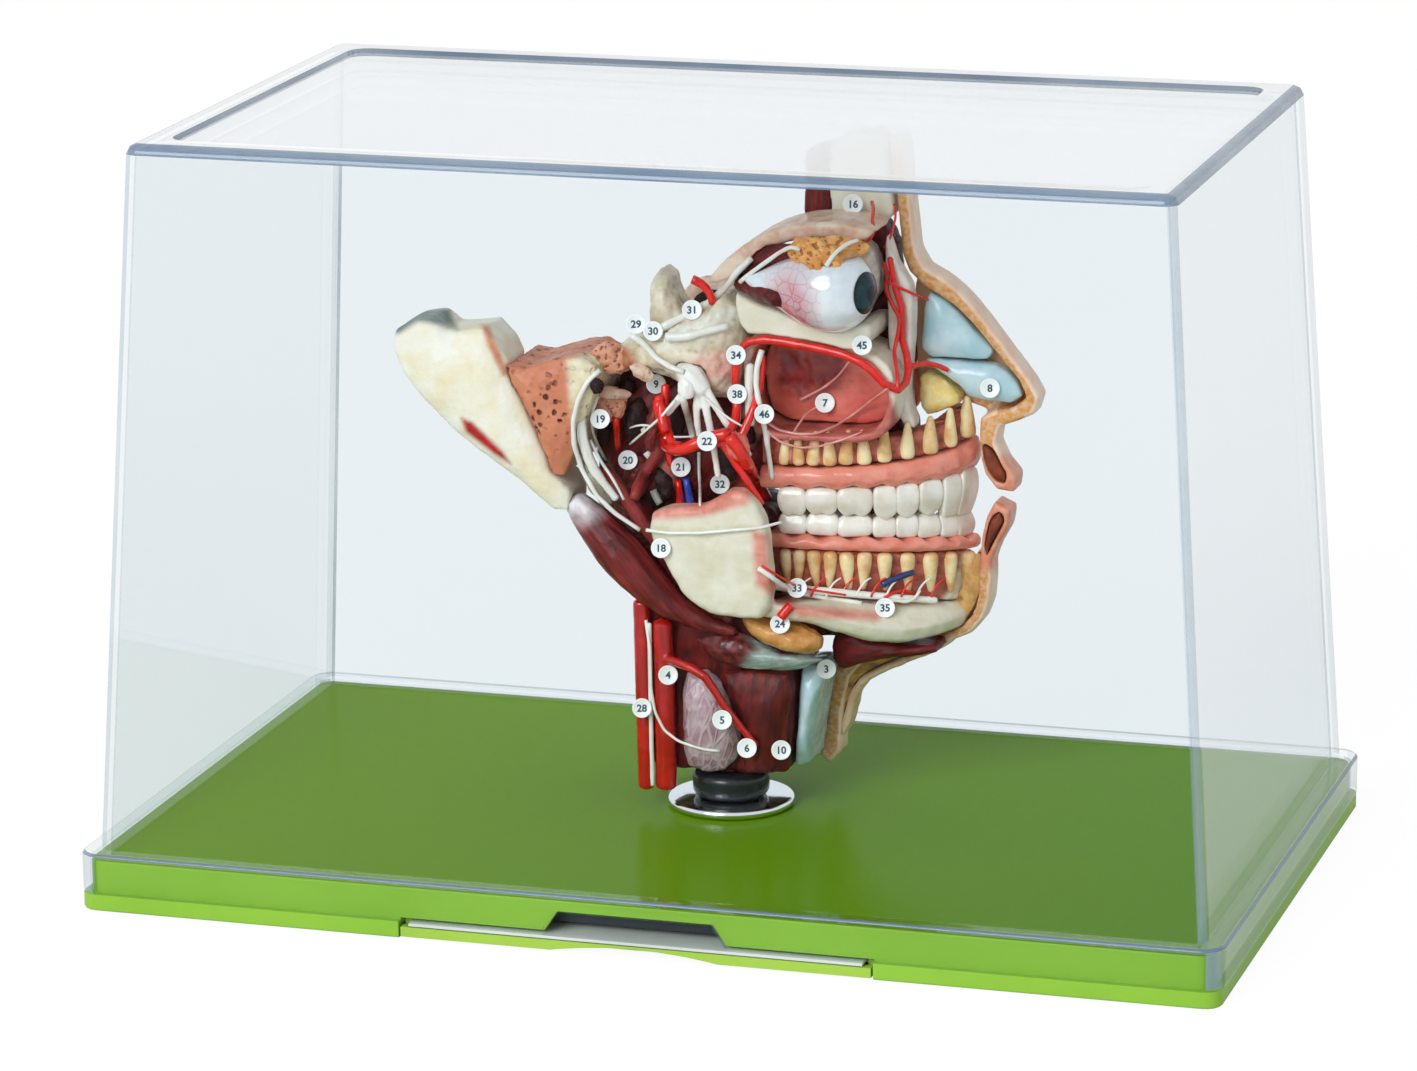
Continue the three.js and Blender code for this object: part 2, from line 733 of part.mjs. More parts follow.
// Roots, from the neck to the point: place between them, width and thickness
const rootLevelShares = [[0, 0.6, 1], [0.4, 0.5, 0.95], [1, 0.16, 0.5]];
const rootThickShare = 5;
const rootLeanShare = 1.5;
// Sections of the spongy bone and of the gum: inset from the arch and place between the levels
const bedSectionShares = [[2.6, 0], [9, 0], [9, 1], [2.6, 1]];
const gumSectionShares = [[1, 0], [-0.6, 0.3], [-0.6, 0.7], [1, 1], [10, 1], [10, 0]];

function sectionBand(jaw, piece, sectionShares) {
  return archBand(toothArchShares, archTurnShares.firstShare, (along) => {
    const low = levelAt(`${jaw}${piece}Low`, along);
    const high = levelAt(`${jaw}${piece}High`, along);
    return sectionShares.map(([inset, place]) => [inset, blend(low, high, place)]);
  });
}

function rootBed(jaw, insetShare) {
  const roots = teethOnArch.map((tooth) => {
    const neck = levelAt(`${jaw}RootNeck`, tooth.along);
    const tip = levelAt(`${jaw}RootEnd`, tooth.along);
    const levels = rootLevelShares.map(([place, width, thickness]) => [
      blend(neck, tip, place),
      width,
      thickness,
    ]);
    return archPeg({ ...tooth, thickShare: rootThickShare }, levels, 6, insetShare, rootLeanShare);
  });
  return [sectionBand(jaw, "Bed", bedSectionShares), ...roots];
}

// Lower jaw: an outer plate that follows the jaw's arch, a tongue-side plate and the ramus
const jawBorderShares = [
  [0, 53], [0.293, 49], [0.465, 43], [0.554, 41], [0.717, 41], [0.85, 41.6], [1, 42],
];

function jawBorderAt(turn) {
  const share = shareOf(turn);
  const next = jawBorderShares.findIndex(([place]) => place >= share);
  const [toPlace, toHeight] = jawBorderShares[next];
  const [fromPlace, fromHeight] = jawBorderShares[next - 1];
  return THREE.MathUtils.mapLinear(share, fromPlace, toPlace, fromHeight, toHeight);
}

// Sections of the jaw's plates: inset from the arch, height above the border or the ledge, and
// lean towards the arch of the teeth
const jawPlateShares = {
  border: [[5, 0, 0], [1.4, 1.6, 0], [0, 5.4, 0]],
  ledge: [[2.4, 0, 0.75], [9.6, 0, 0.95]],
  hollow: { insetShare: 9, placeShare: 0.4, leanShare: 0.3 },
  tongueSide: {
    insetShare: 9.3,
    footDropShare: 3,
    crestDropShare: 1,
    crestInsetShare: 12.6,
    footInsetShare: 13.4,
  },
};

const ramusShares = {
  outlineShares: [
    [-20, 77], [-18.6, 82.4], [-10, 84.6], [-2, 85.6], [4, 90.4], [8.6, 91], [12.6, 87.4], [15.6, 80],
    [16.6, 70], [17, 60], [15, 52.6], [6, 52], [0, 52.4], [-5.6, 54.6], [-10.6, 59], [-14, 65],
  ],
  backShare: -14, frontShare: -22, edgeShare: 1.4, steps: 24,
};

function castMandible() {
  const { border, ledge, hollow, tongueSide } = jawPlateShares;
  const outer = archBand(jawArchShares, archTurnShares.jawFirstShare, (along, turn) => {
    const low = jawBorderAt(turn);
    const high = levelAt("jawLedge", along);
    return [
      ...border.map(([inset, rise, lean]) => [inset, low + rise, lean]),
      ...ledge.map(([inset, rise, lean]) => [inset, high + rise, lean]),
      [hollow.insetShare, blend(low, high, hollow.placeShare), hollow.leanShare],
    ];
  });
  const inner = archBand(toothArchShares, archTurnShares.firstShare, (along) => {
    const foot = levelAt("jawLedge", along) - tongueSide.footDropShare;
    const crest = levelAt("lowerBedHigh", along);
    return [
      [tongueSide.insetShare, foot],
      [tongueSide.insetShare, crest],
      [tongueSide.crestInsetShare, crest - tongueSide.crestDropShare],
      [tongueSide.footInsetShare, foot],
    ];
  });
  return [outer, inner, plate(ramusShares)];
}

// Floor of the mouth and tongue: half an oval in plan, inside the arch of the teeth
const mouthFloorShares = { backShare: 14, lengthShare: 38, halfShare: 16 };
const mouthFloorSteps = 9;
const mouthLevelShares = [
  [36, 0.5], [44, 0.86], [58, 1], [74, 1], [81, 0.9], [83.4, 0.6],
];

function castMouthFloor() {
  const { backShare, lengthShare, halfShare } = mouthFloorShares;
  const rings = mouthLevelShares.map(([height, scale]) => {
    const ring = [at(backShare, medianShare, height)];
    for (let step = 0; step <= mouthFloorSteps; step += 1) {
      const turn = (Math.PI * step) / (2 * mouthFloorSteps);
      const x = backShare + lengthShare * scale * Math.sin(turn);
      const y = medianShare - halfShare * scale * Math.cos(turn);
      ring.push(at(x, y, height));
    }
    return ring;
  });
  return ringLoft(rings, middleOf(rings[0]), middleOf(rings[rings.length - 1]));
}

// Depths of the layers that the model is built up in, from the midline outwards
const skullFaceShare = 16;
const skullBackShare = 15.6;
const neckFaceShare = -7;
const neckBackShare = -7.4;
const skinFaceShare = 18;

// Face: the skin of the midline profile, above and below the mouth, and the nose's middle wall
const upperSkinShares = {
  outlineShares: [
    [46.5, 190], [48.4, 176], [49.8, 164], [51, 155], [53.5, 151], [58.5, 148.5], [65, 143.5], [72, 135.5],
    [79, 126.5], [85, 119], [87.8, 114], [87, 109.6], [83, 107], [77.5, 105.6], [74.6, 103], [75.4, 97.5],
    [78.4, 92.5], [81.6, 88.8], [81, 85.4], [77.4, 84.4], [73.6, 86.2], [70.8, 91], [69.6, 97], [69.6, 103],
    [70.4, 108.4], [76, 109.6], [81.6, 111], [84, 114.6], [81.2, 119], [75.6, 125.4], [68.6, 133.6],
    [61.8, 140.2], [55, 144.2], [50.2, 147.4], [46.8, 152.4], [45.6, 163], [44.2, 176], [42.4, 190],
  ],
  backShare: medianShare, frontShare: skinFaceShare, edgeShare: 0.9, steps: 48,
};
const noseWallShares = {
  outlineShares: [
    [49.6, 149.6], [57, 147], [65.4, 141.4], [73.6, 131.6], [80.6, 122.4], [85.2, 115], [83, 109.4],
    [76, 107.4],
    [68, 108.6], [59, 112], [50.4, 113], [49, 122], [48.6, 137],
  ],
  backShare: medianShare, frontShare: 24.4, edgeShare: 0.6, steps: 22,
};
const lowerSkinShares = {
  outlineShares: [
    [74.2, 81.8], [77.6, 81.4], [79.4, 78.6], [78.8, 75], [76.2, 70], [74, 66.2], [73, 61], [73.4, 55],
    [72, 48.4],
    [68.4, 42], [60, 38], [50, 35.6], [40, 33], [34.2, 29.6], [30.2, 25], [27.6, 14], [25.4, -2], [19.8, -2],
    [22.6, 14], [24.6, 26.6], [29.6, 33.6], [38, 37], [49, 39.4], [59, 40.6], [66, 44.4], [68.8, 49.6],
    [69.4, 55],
    [69.6, 61.6], [70, 68], [71, 74.6],
  ],
  backShare: medianShare, frontShare: skinFaceShare, edgeShare: 0.9, steps: 40,
};
const facePieces = {
  lip_muscle_upper: {
    paint: "flesh",
    outlineShares: [[70.8, 99], [73, 98], [76.2, 92.6], [78, 88.8], [76.4, 87.4], [73.8, 89.4], [71.6, 94]],
    backShare: 22, rimShare: 17.6, crownShare: 16.6, steps: 10,
  },
  lip_muscle_lower: {
    paint: "flesh",
    outlineShares: [
      [76, 78.8], [77, 76.8], [75.4, 73], [73, 68.6], [71.9, 64.8], [71.6, 68], [72.8, 74.4], [74.2, 77.6],
    ],
    backShare: 22, rimShare: 17.6, crownShare: 16.6, steps: 10,
  },
  nasal_cartilage_upper: {
    paint: "cartilage",
    outlineShares: [
      [54.4, 143.4], [60.8, 140], [67.4, 133.6], [74.4, 125.4], [71, 124.2], [61, 124.4], [52.6, 124.6],
      [52.4, 134],
    ],
    backShare: 24, rimShare: 19, crownShare: 16.6, steps: 16,
  },
  nasal_cartilage_alar: {
    paint: "cartilage",
    outlineShares: [
      [53, 123.6], [62, 123.4], [71, 123.2], [76, 122.6], [80.6, 118.4], [82.6, 114.4], [80, 112],
      [72, 112.2],
      [66.6, 112.8], [62.6, 117], [57.4, 120],
    ],
    backShare: 24, rimShare: 18.4, crownShare: 15.6, steps: 16,
  },
  alar_fat: {
    paint: "fat",
    outlineShares: [
      [52.4, 119.4], [57, 119], [61.2, 116], [64.6, 111.6], [61, 109.8], [57, 107.8], [53, 107.2],
      [52, 112],
    ],
    backShare: 24, rimShare: 17.4, crownShare: 14.2, steps: 12,
  },
};

// Skull: the median block, the forehead, the orbit, the upper jaw and the skull base
const skullPieces = {
  skull_core: {
    outlineShares: [
      [-36, 112], [-34, 122], [-26, 127], [-10, 134.6], [2, 145.4], [14, 156.6], [26, 163.8], [42, 163.8],
      [45, 149], [47.6, 130],
      [48, 112], [50, 100], [50, 89], [40, 84.8], [14, 84.8], [2, 81.4], [-12, 81.6], [-26, 91], [-33, 103],
    ],
    backShare: medianShare, frontShare: skullFaceShare, edgeShare: 1, steps: 34,
  },
  frontal_bone: {
    outlineShares: [[25.4, 164.8], [25.4, 187], [33, 190], [41, 190], [42.8, 176], [44, 164.8], [38, 165.2]],
    backShare: medianShare, frontShare: skullFaceShare, edgeShare: 0.8, steps: 20,
  },
  temporal_muscle: {
    outlineShares: [[18, 163], [17.6, 176], [17.8, 184], [24.6, 186.8], [24.8, 176], [24.8, 164.8]],
    backShare: 25, frontShare: skullFaceShare, edgeShare: 0.8, steps: 16,
  },
  orbital_roof: {
    outlineShares: [
      [-6, 148], [-2, 154], [6, 160.6], [14, 165.2], [24, 167.6], [38, 167.8], [44.6, 165.6], [40, 163],
      [27, 163.4],
      [16, 160.6], [7, 155.4], [0, 149.4],
    ],
    backShare: skullBackShare, frontShare: -6, edgeShare: 0.8, steps: 32,
  },
  orbital_floor: {
    outlineShares: [
      [3, 146], [8, 143.6], [16, 141.4], [23, 138.6], [30, 136.6], [37, 137], [43, 139.6], [43.6, 135],
      [41, 131.4],
      [36, 131], [24, 132.6], [12, 133.8], [6, 134.4], [3.4, 139],
    ],
    backShare: skullBackShare, frontShare: -7, edgeShare: 0.7, steps: 30,
  },
  nasal_process: {
    outlineShares: [
      [44.4, 162], [47, 154], [51.4, 146.6], [52, 134], [51.2, 124], [50.4, 116], [51.4, 109], [54, 105.4],
      [50.4, 104.6], [47.4, 110], [45.6, 120], [44.8, 130], [44.6, 140], [43.8, 150],
    ],
    backShare: skullBackShare, frontShare: 8, edgeShare: 0.7, steps: 30,
  },
  maxilla: {
    outlineShares: [
      [4.6, 124], [5.6, 131.6], [12, 133.6], [24, 133.4], [36, 131.8], [44.4, 129.4], [48.8, 125.4],
      [50.6, 119],
      [49.8, 111.6], [46.8, 105.6], [40, 103], [26, 102.4], [14, 102.4], [8, 104.4], [5.2, 113],
    ],
    pocketShares: [
      [7, 113], [6.6, 122], [7.8, 129.4], [13, 131.8], [26, 131.4], [36, 129.8], [43.2, 127.4], [46.8, 123.8],
      [48.4, 118.6], [47.4, 111.8], [44.6, 107], [38, 105], [26, 104.4], [14, 104.6], [9.4, 106.4],
    ],
    liningShares: [
      [7.6, 113], [7.2, 122], [8.4, 128.8], [13, 131.2], [26, 130.8], [35.8, 129.2], [42.6, 126.8],
      [46.2, 123.4],
      [47.8, 118.6], [46.8, 112], [44.2, 107.6], [38, 105.6], [26, 105], [14, 105.2], [9.8, 107],
    ],
    backShare: skullBackShare, frontShare: -5, edgeShare: 0.5, steps: 34, pocketFloorShare: 2,
    liningThicknessShare: 5,
  },
};

// Upper jaw bone with its air pocket laid open from the side, and the pocket's lining
function castMaxilla() {
  const bone = skullPieces.maxilla;
  const pocketBack = bone.backShare - bone.pocketFloorShare;
  const pocket = {
    outlineShares: bone.pocketShares,
    backShare: pocketBack,
    frontShare: bone.frontShare - bone.pocketFloorShare,
    edgeShare: bone.edgeShare,
    steps: 20,
  };
  return plate(bone).subtract(plate(pocket));
}

function castSinusLining() {
  const bone = skullPieces.maxilla;
  const back = bone.backShare - bone.pocketFloorShare - seatGap / unit;
  return plate({
    outlineShares: bone.liningShares,
    backShare: back,
    frontShare: back - bone.liningThicknessShare,
    edgeShare: bone.edgeShare,
    steps: 20,
  });
}

const domedPieces = {
  skull_base: {
    paint: "bone",
    outlineShares: [
      [-37, 119], [-37, 125], [-30, 130], [-22, 134], [-14, 137.6], [-6, 141], [0, 145], [2.6, 140],
      [3.8, 130],
      [3, 119], [-1, 112.6], [-10, 114.6], [-20, 118.8], [-28, 121],
    ],
    backShare: skullBackShare, rimShare: -2, crownShare: -10, steps: 18,
  },
  clinoid_process: {
    outlineShares: [
      [-24.6, 134], [-24.6, 142], [-23, 150], [-19.4, 150], [-17.4, 142], [-13, 137], [-15, 132],
      [-20, 130],
    ],
    backShare: 9, rimShare: -2, crownShare: -6, steps: 12,
  },
  orbital_fat: {
    paint: "fat",
    outlineShares: [
      [6, 148.4], [10, 153.6], [17, 158], [27, 160.8], [38, 160.6], [41.6, 155], [42.6, 147], [39, 140.2],
      [30, 139],
      [17, 143.6],
    ],
    backShare: skullBackShare, rimShare: 7, crownShare: 4.4, steps: 16,
  },
  pterygoid_muscle: {
    paint: "darkFlesh",
    outlineShares: [
      [-42.6, 104], [-42, 115], [-30, 118.4], [-18, 115], [-10, 111], [-2, 109.4], [4, 110], [7, 102],
      [7.4, 92], [0, 80], [-13, 77], [-19, 69], [-24, 60], [-31, 59.6], [-38, 69], [-44, 80], [-46, 90],
    ],
    backShare: skullBackShare, rimShare: 8, crownShare: 2, steps: 16,
  },
  temporal_bone: {
    paint: "bone",
    outlineShares: [
      [-98.6, 119], [-101.2, 129.6], [-94, 134.4], [-88, 134.6], [-83.6, 131], [-72, 132.6], [-63.6, 119.6],
      [-56.6, 102.6], [-50.4, 89], [-45.6, 83], [-48.6, 77.6], [-62.4, 87.6], [-76.6, 97], [-89, 107.4],
    ],
    backShare: 4, rimShare: -13.6, crownShare: -17, steps: 28,
  },
  mastoid_cells: {
    paint: "marrow",
    outlineShares: [
      [-66, 122.4], [-60.6, 121.4], [-54, 123.4], [-46, 126], [-38.6, 124.4], [-37.6, 117.6], [-40.6, 109],
      [-44, 100], [-47, 92], [-50, 87.4], [-54.8, 98], [-60, 110],
    ],
    backShare: skullBackShare, rimShare: -14, crownShare: -17, steps: 18,
  },
  thyroid_gland: {
    paint: "glandPink",
    outlineShares: [[-12, 31.6], [-13.6, 16], [-12, 2], [-5, 0.6], [1, 3], [4, 12], [0.6, 22], [-4, 31.4]],
    backShare: neckBackShare, rimShare: -10, crownShare: -15.4, steps: 14,
  },
  infrahyoid_muscles: {
    paint: "flesh",
    outlineShares: [
      [-2, 31.6], [9, 32.4], [18.8, 32.2], [18.2, 18], [15.6, 4], [9, 0.8], [3.4, 2], [5.6, 13], [2.2, 24],
    ],
    backShare: neckBackShare, rimShare: -9, crownShare: -12.4, steps: 14,
  },
  hyoid_region: {
    paint: "fascia",
    outlineShares: [
      [-10, 41], [-4, 35], [8, 33.4], [20, 34], [28, 36.6], [29.6, 38.6], [22, 39], [12, 40.4], [2, 45],
    ],
    backShare: neckBackShare, rimShare: -9, crownShare: -13, steps: 14,
  },
  thyroid_cartilage: {
    paint: "cartilage",
    outlineShares: [
      [20.4, 32.8], [26.6, 32.6], [25.4, 24], [23, 10], [21.4, 1], [18, 1], [18.6, 12], [19.6, 24],
    ],
    backShare: 17.4, rimShare: 1, crownShare: -4, steps: 14,
  },
  submandibular_gland: {
    paint: "gland",
    outlineShares: [
      [5, 50], [12, 50], [20, 48.8], [26, 47], [30, 43.6], [28, 40], [22, 39.6], [14, 41.4], [7, 45],
    ],
    backShare: neckBackShare, rimShare: -10.6, crownShare: -16.6, steps: 16,
  },
  mylohyoid_muscle: {
    paint: "darkFlesh",
    outlineShares: [
      [29, 42], [38, 41.6], [44, 41], [52, 40], [60, 40], [61.6, 38.8], [56, 37], [46, 35.4], [36, 32.6],
      [30, 30.6],
      [27.6, 36],
    ],
    backShare: 17.6, rimShare: 6, crownShare: 3, steps: 18,
  },
  lacrimal_gland: {
    paint: "gland",
    outlineShares: [
      [22.6, 161.6], [23.4, 156.4], [26.6, 152.6], [31, 150], [35.4, 151.4], [37.4, 156.4], [41, 160],
      [42, 162],
      [36, 162.6], [28, 162.4],
    ],
    backShare: 1, rimShare: -10, crownShare: -17.4, steps: 16,
  },
};

// Blood vessels, nerves and muscle bellies: path corners are [x, y, z] shares
const strands = {
  digastric_muscle: {
    paint: "flesh",
    pathShares: [
      [-46.6, -9, 81.2], [-39.4, -9, 73.4], [-31, -9.4, 64.6], [-22.6, -9.6, 56], [-14.1, -9.6, 49.8],
      [-4, -10, 45.8], [3, -10, 44.8],
    ],
    radiusShares: [3.8, 6.2, 7.4, 6.6, 4.6, 2.6, 1.6], steps: 9, sides: 9,
  },
  stylohyoid_muscle: {
    paint: "flesh",
    pathShares: [[-37, -9, 92], [-27, -10, 79], [-19, -10, 69], [-10, -10.6, 59], [2, -12, 48.6]],
    radiusShares: [1.8, 2.6, 2.6, 2.2, 1.6], steps: 7, sides: 7,
  },
  internal_carotid: {
    paint: "artery",
    pathShares: [[-25.3, -10, -5.2], [-25.5, -10, 14], [-25.8, -10, 32], [-26.2, -10, 52]],
    radiusShares: [2.7, 2.7, 2.7, 2.5], steps: 4, sides: 10,
  },
  vagus_nerve: {
    paint: "nerve",
    pathShares: [[-22.7, -12.4, -4], [-22.8, -12.4, 14], [-22.9, -12.4, 32], [-23, -12.4, 46]],
    radiusShares: [0.8, 0.8, 0.8, 0.8], steps: 4, sides: 6,
  },
  mandibular_nerve: {
    paint: "nerve",
    pathShares: [
      [8, -12, 62], [14, -6.6, 58.6], [20, -4.6, 57.6], [30, -3.2, 57], [40, -0.6, 56], [48, 2.7, 55],
      [54, 6, 54], [59, 9.4, 53],
    ],
    radiusShares: [1.4, 1.4, 1.3, 1.2, 1.2, 1.1], steps: 11, sides: 6,
  },
  maxillary_nerve: {
    paint: "nerve",
    pathShares: [[7.2, -6.9, 107], [7, -6.9, 116], [7.4, -6.9, 125]],
    radiusShares: [1.6, 1.5, 1.4], steps: 4, sides: 6,
  },
  facial_nerve: {
    paint: "nerve",
    pathShares: [[-39, -9, 121], [-43, -12, 111], [-42.4, -13, 101], [-39, -12, 91], [-33, -11, 83]],
    radiusShares: [1.2, 1.6, 1.8, 1.7, 1.3], steps: 8, sides: 6,
  },
  levator_muscle: {
    paint: "darkFlesh",
    pathShares: [[2, 0, 150.6], [9, -3, 155], [18, -7, 158.2], [27, -10, 160]],
    radiusShares: [2, 2.6, 2.6, 2], steps: 6, sides: 8, flatten: 1.4,
  },
  lateral_rectus: {
    paint: "flesh",
    pathShares: [[3, -2, 148], [8, -5, 148], [14, -10, 147.6], [19.6, -15, 147]],
    radiusShares: [2.2, 3, 3.2, 2.8], steps: 5, sides: 8, flatten: 1.3,
  },
  optic_nerve: {
    paint: "nerve",
    pathShares: [[-0.6, 4, 150.6], [8, 1.6, 151.4], [15, -1.6, 151.4], [23, -5, 150.6]],
    radiusShares: [2, 2.1, 2.1, 2.3], steps: 5, sides: 8,
  },
};

// Branching vessels and nerves: each branch starts inside the one before
const branchedStrands = {
  trigeminal_nerve: {
    paint: "nerve",
    branches: [
      {
        pathShares: [[-14, -7, 122.6], [-9.6, -9.6, 120.6], [-5.4, -10.4, 117]],
        radiusShares: [2.6, 4.4, 2.4], steps: 4, sides: 8,
      },
      {
        pathShares: [[-7.6, -10, 118], [-8, -11, 110], [-7, -10, 101]],
        radiusShares: [1.5, 1], steps: 3, sides: 5,
      },
      {
        pathShares: [[-6.6, -10, 118], [-3.4, -12, 106], [-1, -12.6, 92]],
        radiusShares: [1.5, 1], steps: 4, sides: 5,
      },
      {
        pathShares: [[-10, -10, 119], [-17, -10, 110], [-26, -7, 103]],
        radiusShares: [1.5, 1], steps: 4, sides: 5,
      },
      {
        pathShares: [[-6, -10, 119], [1, -12, 109], [8.6, -12, 99]],
        radiusShares: [1.5, 1], steps: 4, sides: 5,
      },
    ],
  },
  maxillary_artery: {
    paint: "artery",
    branches: [
      {
        pathShares: [
          [-19, -6, 117], [-18, -9, 107], [-14, -14, 101], [-6, -15.4, 102], [1, -16.4, 104], [6, -15, 102],
        ],
        radiusShares: [1.4, 1.6, 1.5], steps: 9, sides: 6,
      },
      {
        pathShares: [[5.4, -15.2, 102.4], [8.4, -12, 110], [10.4, -7.6, 118], [11, -6.8, 128]],
        radiusShares: [1.5, 1.2], steps: 5, sides: 6,
      },
      {
        pathShares: [[1.6, -16.2, 103.4], [7, -16, 95], [13, -15, 85.4]],
        radiusShares: [1.5, 1.1], steps: 4, sides: 5,
      },
    ],
  },
  external_carotid: {
    paint: "artery",
    branches: [
      {
        pathShares: [[-19.1, -10, -4.8], [-19.2, -10, 12], [-19.4, -10, 28], [-19.7, -10, 46]],
        radiusShares: [3.3, 3.3, 3.3, 3.1], steps: 4, sides: 10,
      },
      {
        pathShares: [
          [-18.4, -11.4, 35.4], [-12, -15, 35], [-5, -15.6, 32], [0, -15, 24], [5, -13.6, 17],
          [10, -13, 11],
        ],
        radiusShares: [1.7, 1.5, 1.2], steps: 8, sides: 6,
      },
    ],
  },
  infraorbital_artery: {
    paint: "artery",
    branches: [
      {
        pathShares: [
          [3, -6.8, 109], [2.8, -6.8, 120], [4.2, -6.9, 130], [10, -6.9, 132.6], [22, -6.8, 131.8],
          [36, -6.8, 129.4], [43, -6.8, 126.4], [47.8, -6.8, 121.6], [51.4, -4.4, 119.4], [52.4, 2, 121.6],
          [51, 6.5, 127], [49.4, 6.5, 133], [49.8, 6.5, 140],
          [47.6, 6.5, 147], [46, 6.4, 156],
        ],
        radiusShares: [1.2, 1.4, 1.5, 1.5, 1.4, 1.3, 1.2, 1.1], steps: 24, sides: 6,
      },
      {
        pathShares: [[51.6, 4.8, 124], [56, 12, 124], [61, 15.4, 121.4]],
        radiusShares: [1.1, 0.9], steps: 4, sides: 5,
      },
    ],
  },
};

const neckColumnShares = {
  outlineShares: [
    [-26.4, 1], [-27, 24], [-27, 48], [-24, 66], [-15, 77.6], [-2, 80.4], [10, 78], [13, 70], [13, 44],
    [14, 36],
    [18.6, 32.4], [18, 12], [17, 0.6], [6, 0], [-12, 0],
  ],
  backShare: medianShare, frontShare: neckFaceShare, edgeShare: 1.6, steps: 26,
};

function castNeck() {
  const boreRadius = studRadius + seatGap;
  const bore = new THREE.CylinderGeometry(boreRadius, boreRadius, studRise + seatGap + overrun, 16);
  bore.rotateX(Math.PI / 2);
  bore.translate(studX - headX, studY - headY, (studRise + seatGap - overrun) / 2);
  return plate(neckColumnShares).subtract(solidOf(bore));
}

// Eyeball: a white globe with a clear bulge, turned and then swung outwards
const eyeballShares = { xShare: 33, yShare: -8.5, zShare: 149, radiusShare: 12.4, bulgeShare: 1.1 };
const eyeBulgeAngle = 0.5;
const eyeOutwardAngle = 0.27;

function turnEyeball() {
  const steps = 12;
  const profile = [];
  for (let step = 0; step <= steps; step += 1) {
    const turn = (Math.PI * step) / steps;
    const fromFront = Math.PI - turn;
    const bulge = Math.max(0, 1 - (fromFront / eyeBulgeAngle) ** 2) * eyeballShares.bulgeShare;
    const reach = (eyeballShares.radiusShare + bulge) * unit;
    const onAxis = step === 0 || step === steps;
    profile.push(new THREE.Vector2(onAxis ? 0 : reach * Math.sin(turn), -reach * Math.cos(turn)));
  }
  const geometry = new THREE.LatheGeometry(profile, 18);
  geometry.rotateZ(-Math.PI / 2);
  geometry.rotateZ(-eyeOutwardAngle);
  const place = at(eyeballShares.xShare, eyeballShares.yShare, eyeballShares.zShare);
  geometry.translate(place.x, place.y, place.z);
  return solidOf(geometry);
}

// How far each row of crowns and roots lies inside the arch of the teeth
const rowInsetShares = {
  upperCrownShare: 0,
  lowerCrownShare: 1.4,
  upperRootShare: 0.4,
  lowerRootShare: 1,
};

// The head's pieces from the deepest to the outermost, each as the parts that it is cast from
const dome = (name) => [name, domedPieces[name].paint, [domed(domedPieces[name])]];
const skullPlate = (name, paint) => [name, paint, [plate(skullPieces[name])]];
const headPieces = [
  skullPlate("skull_core", "darkFlesh"),
  ["neck_core", "darkFlesh", [castNeck()]],
  ["mouth_floor", "mucosa", [castMouthFloor()]],
  skullPlate("frontal_bone", "bone"),
  skullPlate("temporal_muscle", "flesh"),
  dome("orbital_fat"),
  skullPlate("orbital_roof", "skin"),
  ["skull_base", "bone", [domed(domedPieces.skull_base), domed(domedPieces.clinoid_process)]],
  skullPlate("orbital_floor", "bone"),
  dome("pterygoid_muscle"),
  dome("temporal_bone"),
  dome("mastoid_cells"),
  ["maxilla", "bone", [castMaxilla()]],
  ["sinus_lining", "mucosa", [castSinusLining()]],
  skullPlate("nasal_process", "bone"),
  ["upper_face_skin", "skin", [plate(upperSkinShares), plate(noseWallShares)]],
  ["lower_face_skin", "skin", [plate(lowerSkinShares)]],
  ...Object.entries(facePieces).map(([name, piece]) => [name, piece.paint, [domed(piece)]]),
  ["mandible", "bone", castMandible()],
  ["upper_root_bed", "root", rootBed("upper", rowInsetShares.upperRootShare)],
  ["lower_root_bed", "root", rootBed("lower", rowInsetShares.lowerRootShare)],
  ["upper_gum", "gum", [sectionBand("upper", "Gum", gumSectionShares)]],
  ["lower_gum", "gum", [sectionBand("lower", "Gum", gumSectionShares)]],
  ["lower_teeth", "tooth", crownRow("lower", rowInsetShares.lowerCrownShare)],
  ["upper_teeth", "tooth", crownRow("upper", rowInsetShares.upperCrownShare)],
  dome("mylohyoid_muscle"),
  dome("submandibular_gland"),
  dome("thyroid_gland"),
  dome("infrahyoid_muscles"),
  dome("hyoid_region"),
  dome("thyroid_cartilage"),
  ...Object.entries(branchedStrands).map(([name, piece]) => [name, piece.paint, piece.branches.map(strand)]),
  ...Object.entries(strands).map(([name, piece]) => [name, piece.paint, [strand(piece)]]),
  dome("lacrimal_gland"),
  ["eyeball", "sclera", [turnEyeball()]],
];

// Each piece sits in a socket pressed into the pieces that were laid before it
function beddedSolids(partLists) {
  const solids = partLists.map(joined);
  const boxes = solids.map((solid) => {
    const { min, max } = solid.boundingBox();
    return new THREE.Box3(new THREE.Vector3(...min), new THREE.Vector3(...max));
  });
  return solids.map((solid, i) => {
    let bedded = solid;
    for (let later = i + 1; later < solids.length; later += 1) {
      if (!boxes[i].clone().expandByScalar(seatGap).intersectsBox(boxes[later])) continue;
      for (const part of partLists[later]) {
        const socket = swollen(part, seatGap).add(part);
        if (bedded.intersect(socket).volume() > 0) bedded = bedded.subtract(socket);
      }
    }
    return largestBody(bedded);
  });
}

function meshOf(name, paint, solid) {
  const mesh = new THREE.Mesh(geometryOf(solid), materials[paint]);
  mesh.name = name;
  return mesh;
}

const stand = new THREE.Group();
stand.add(
  meshOf("base_tray", "moss", castBase()),
  meshOf("foot_disc", "chrome", turnFootDisc()),
  meshOf("foot_collar", "blackened", turnCollar()),
  meshOf("stud", "chrome", turnStud()),
  meshOf("stud_nut", "chrome", cutNut()),
);

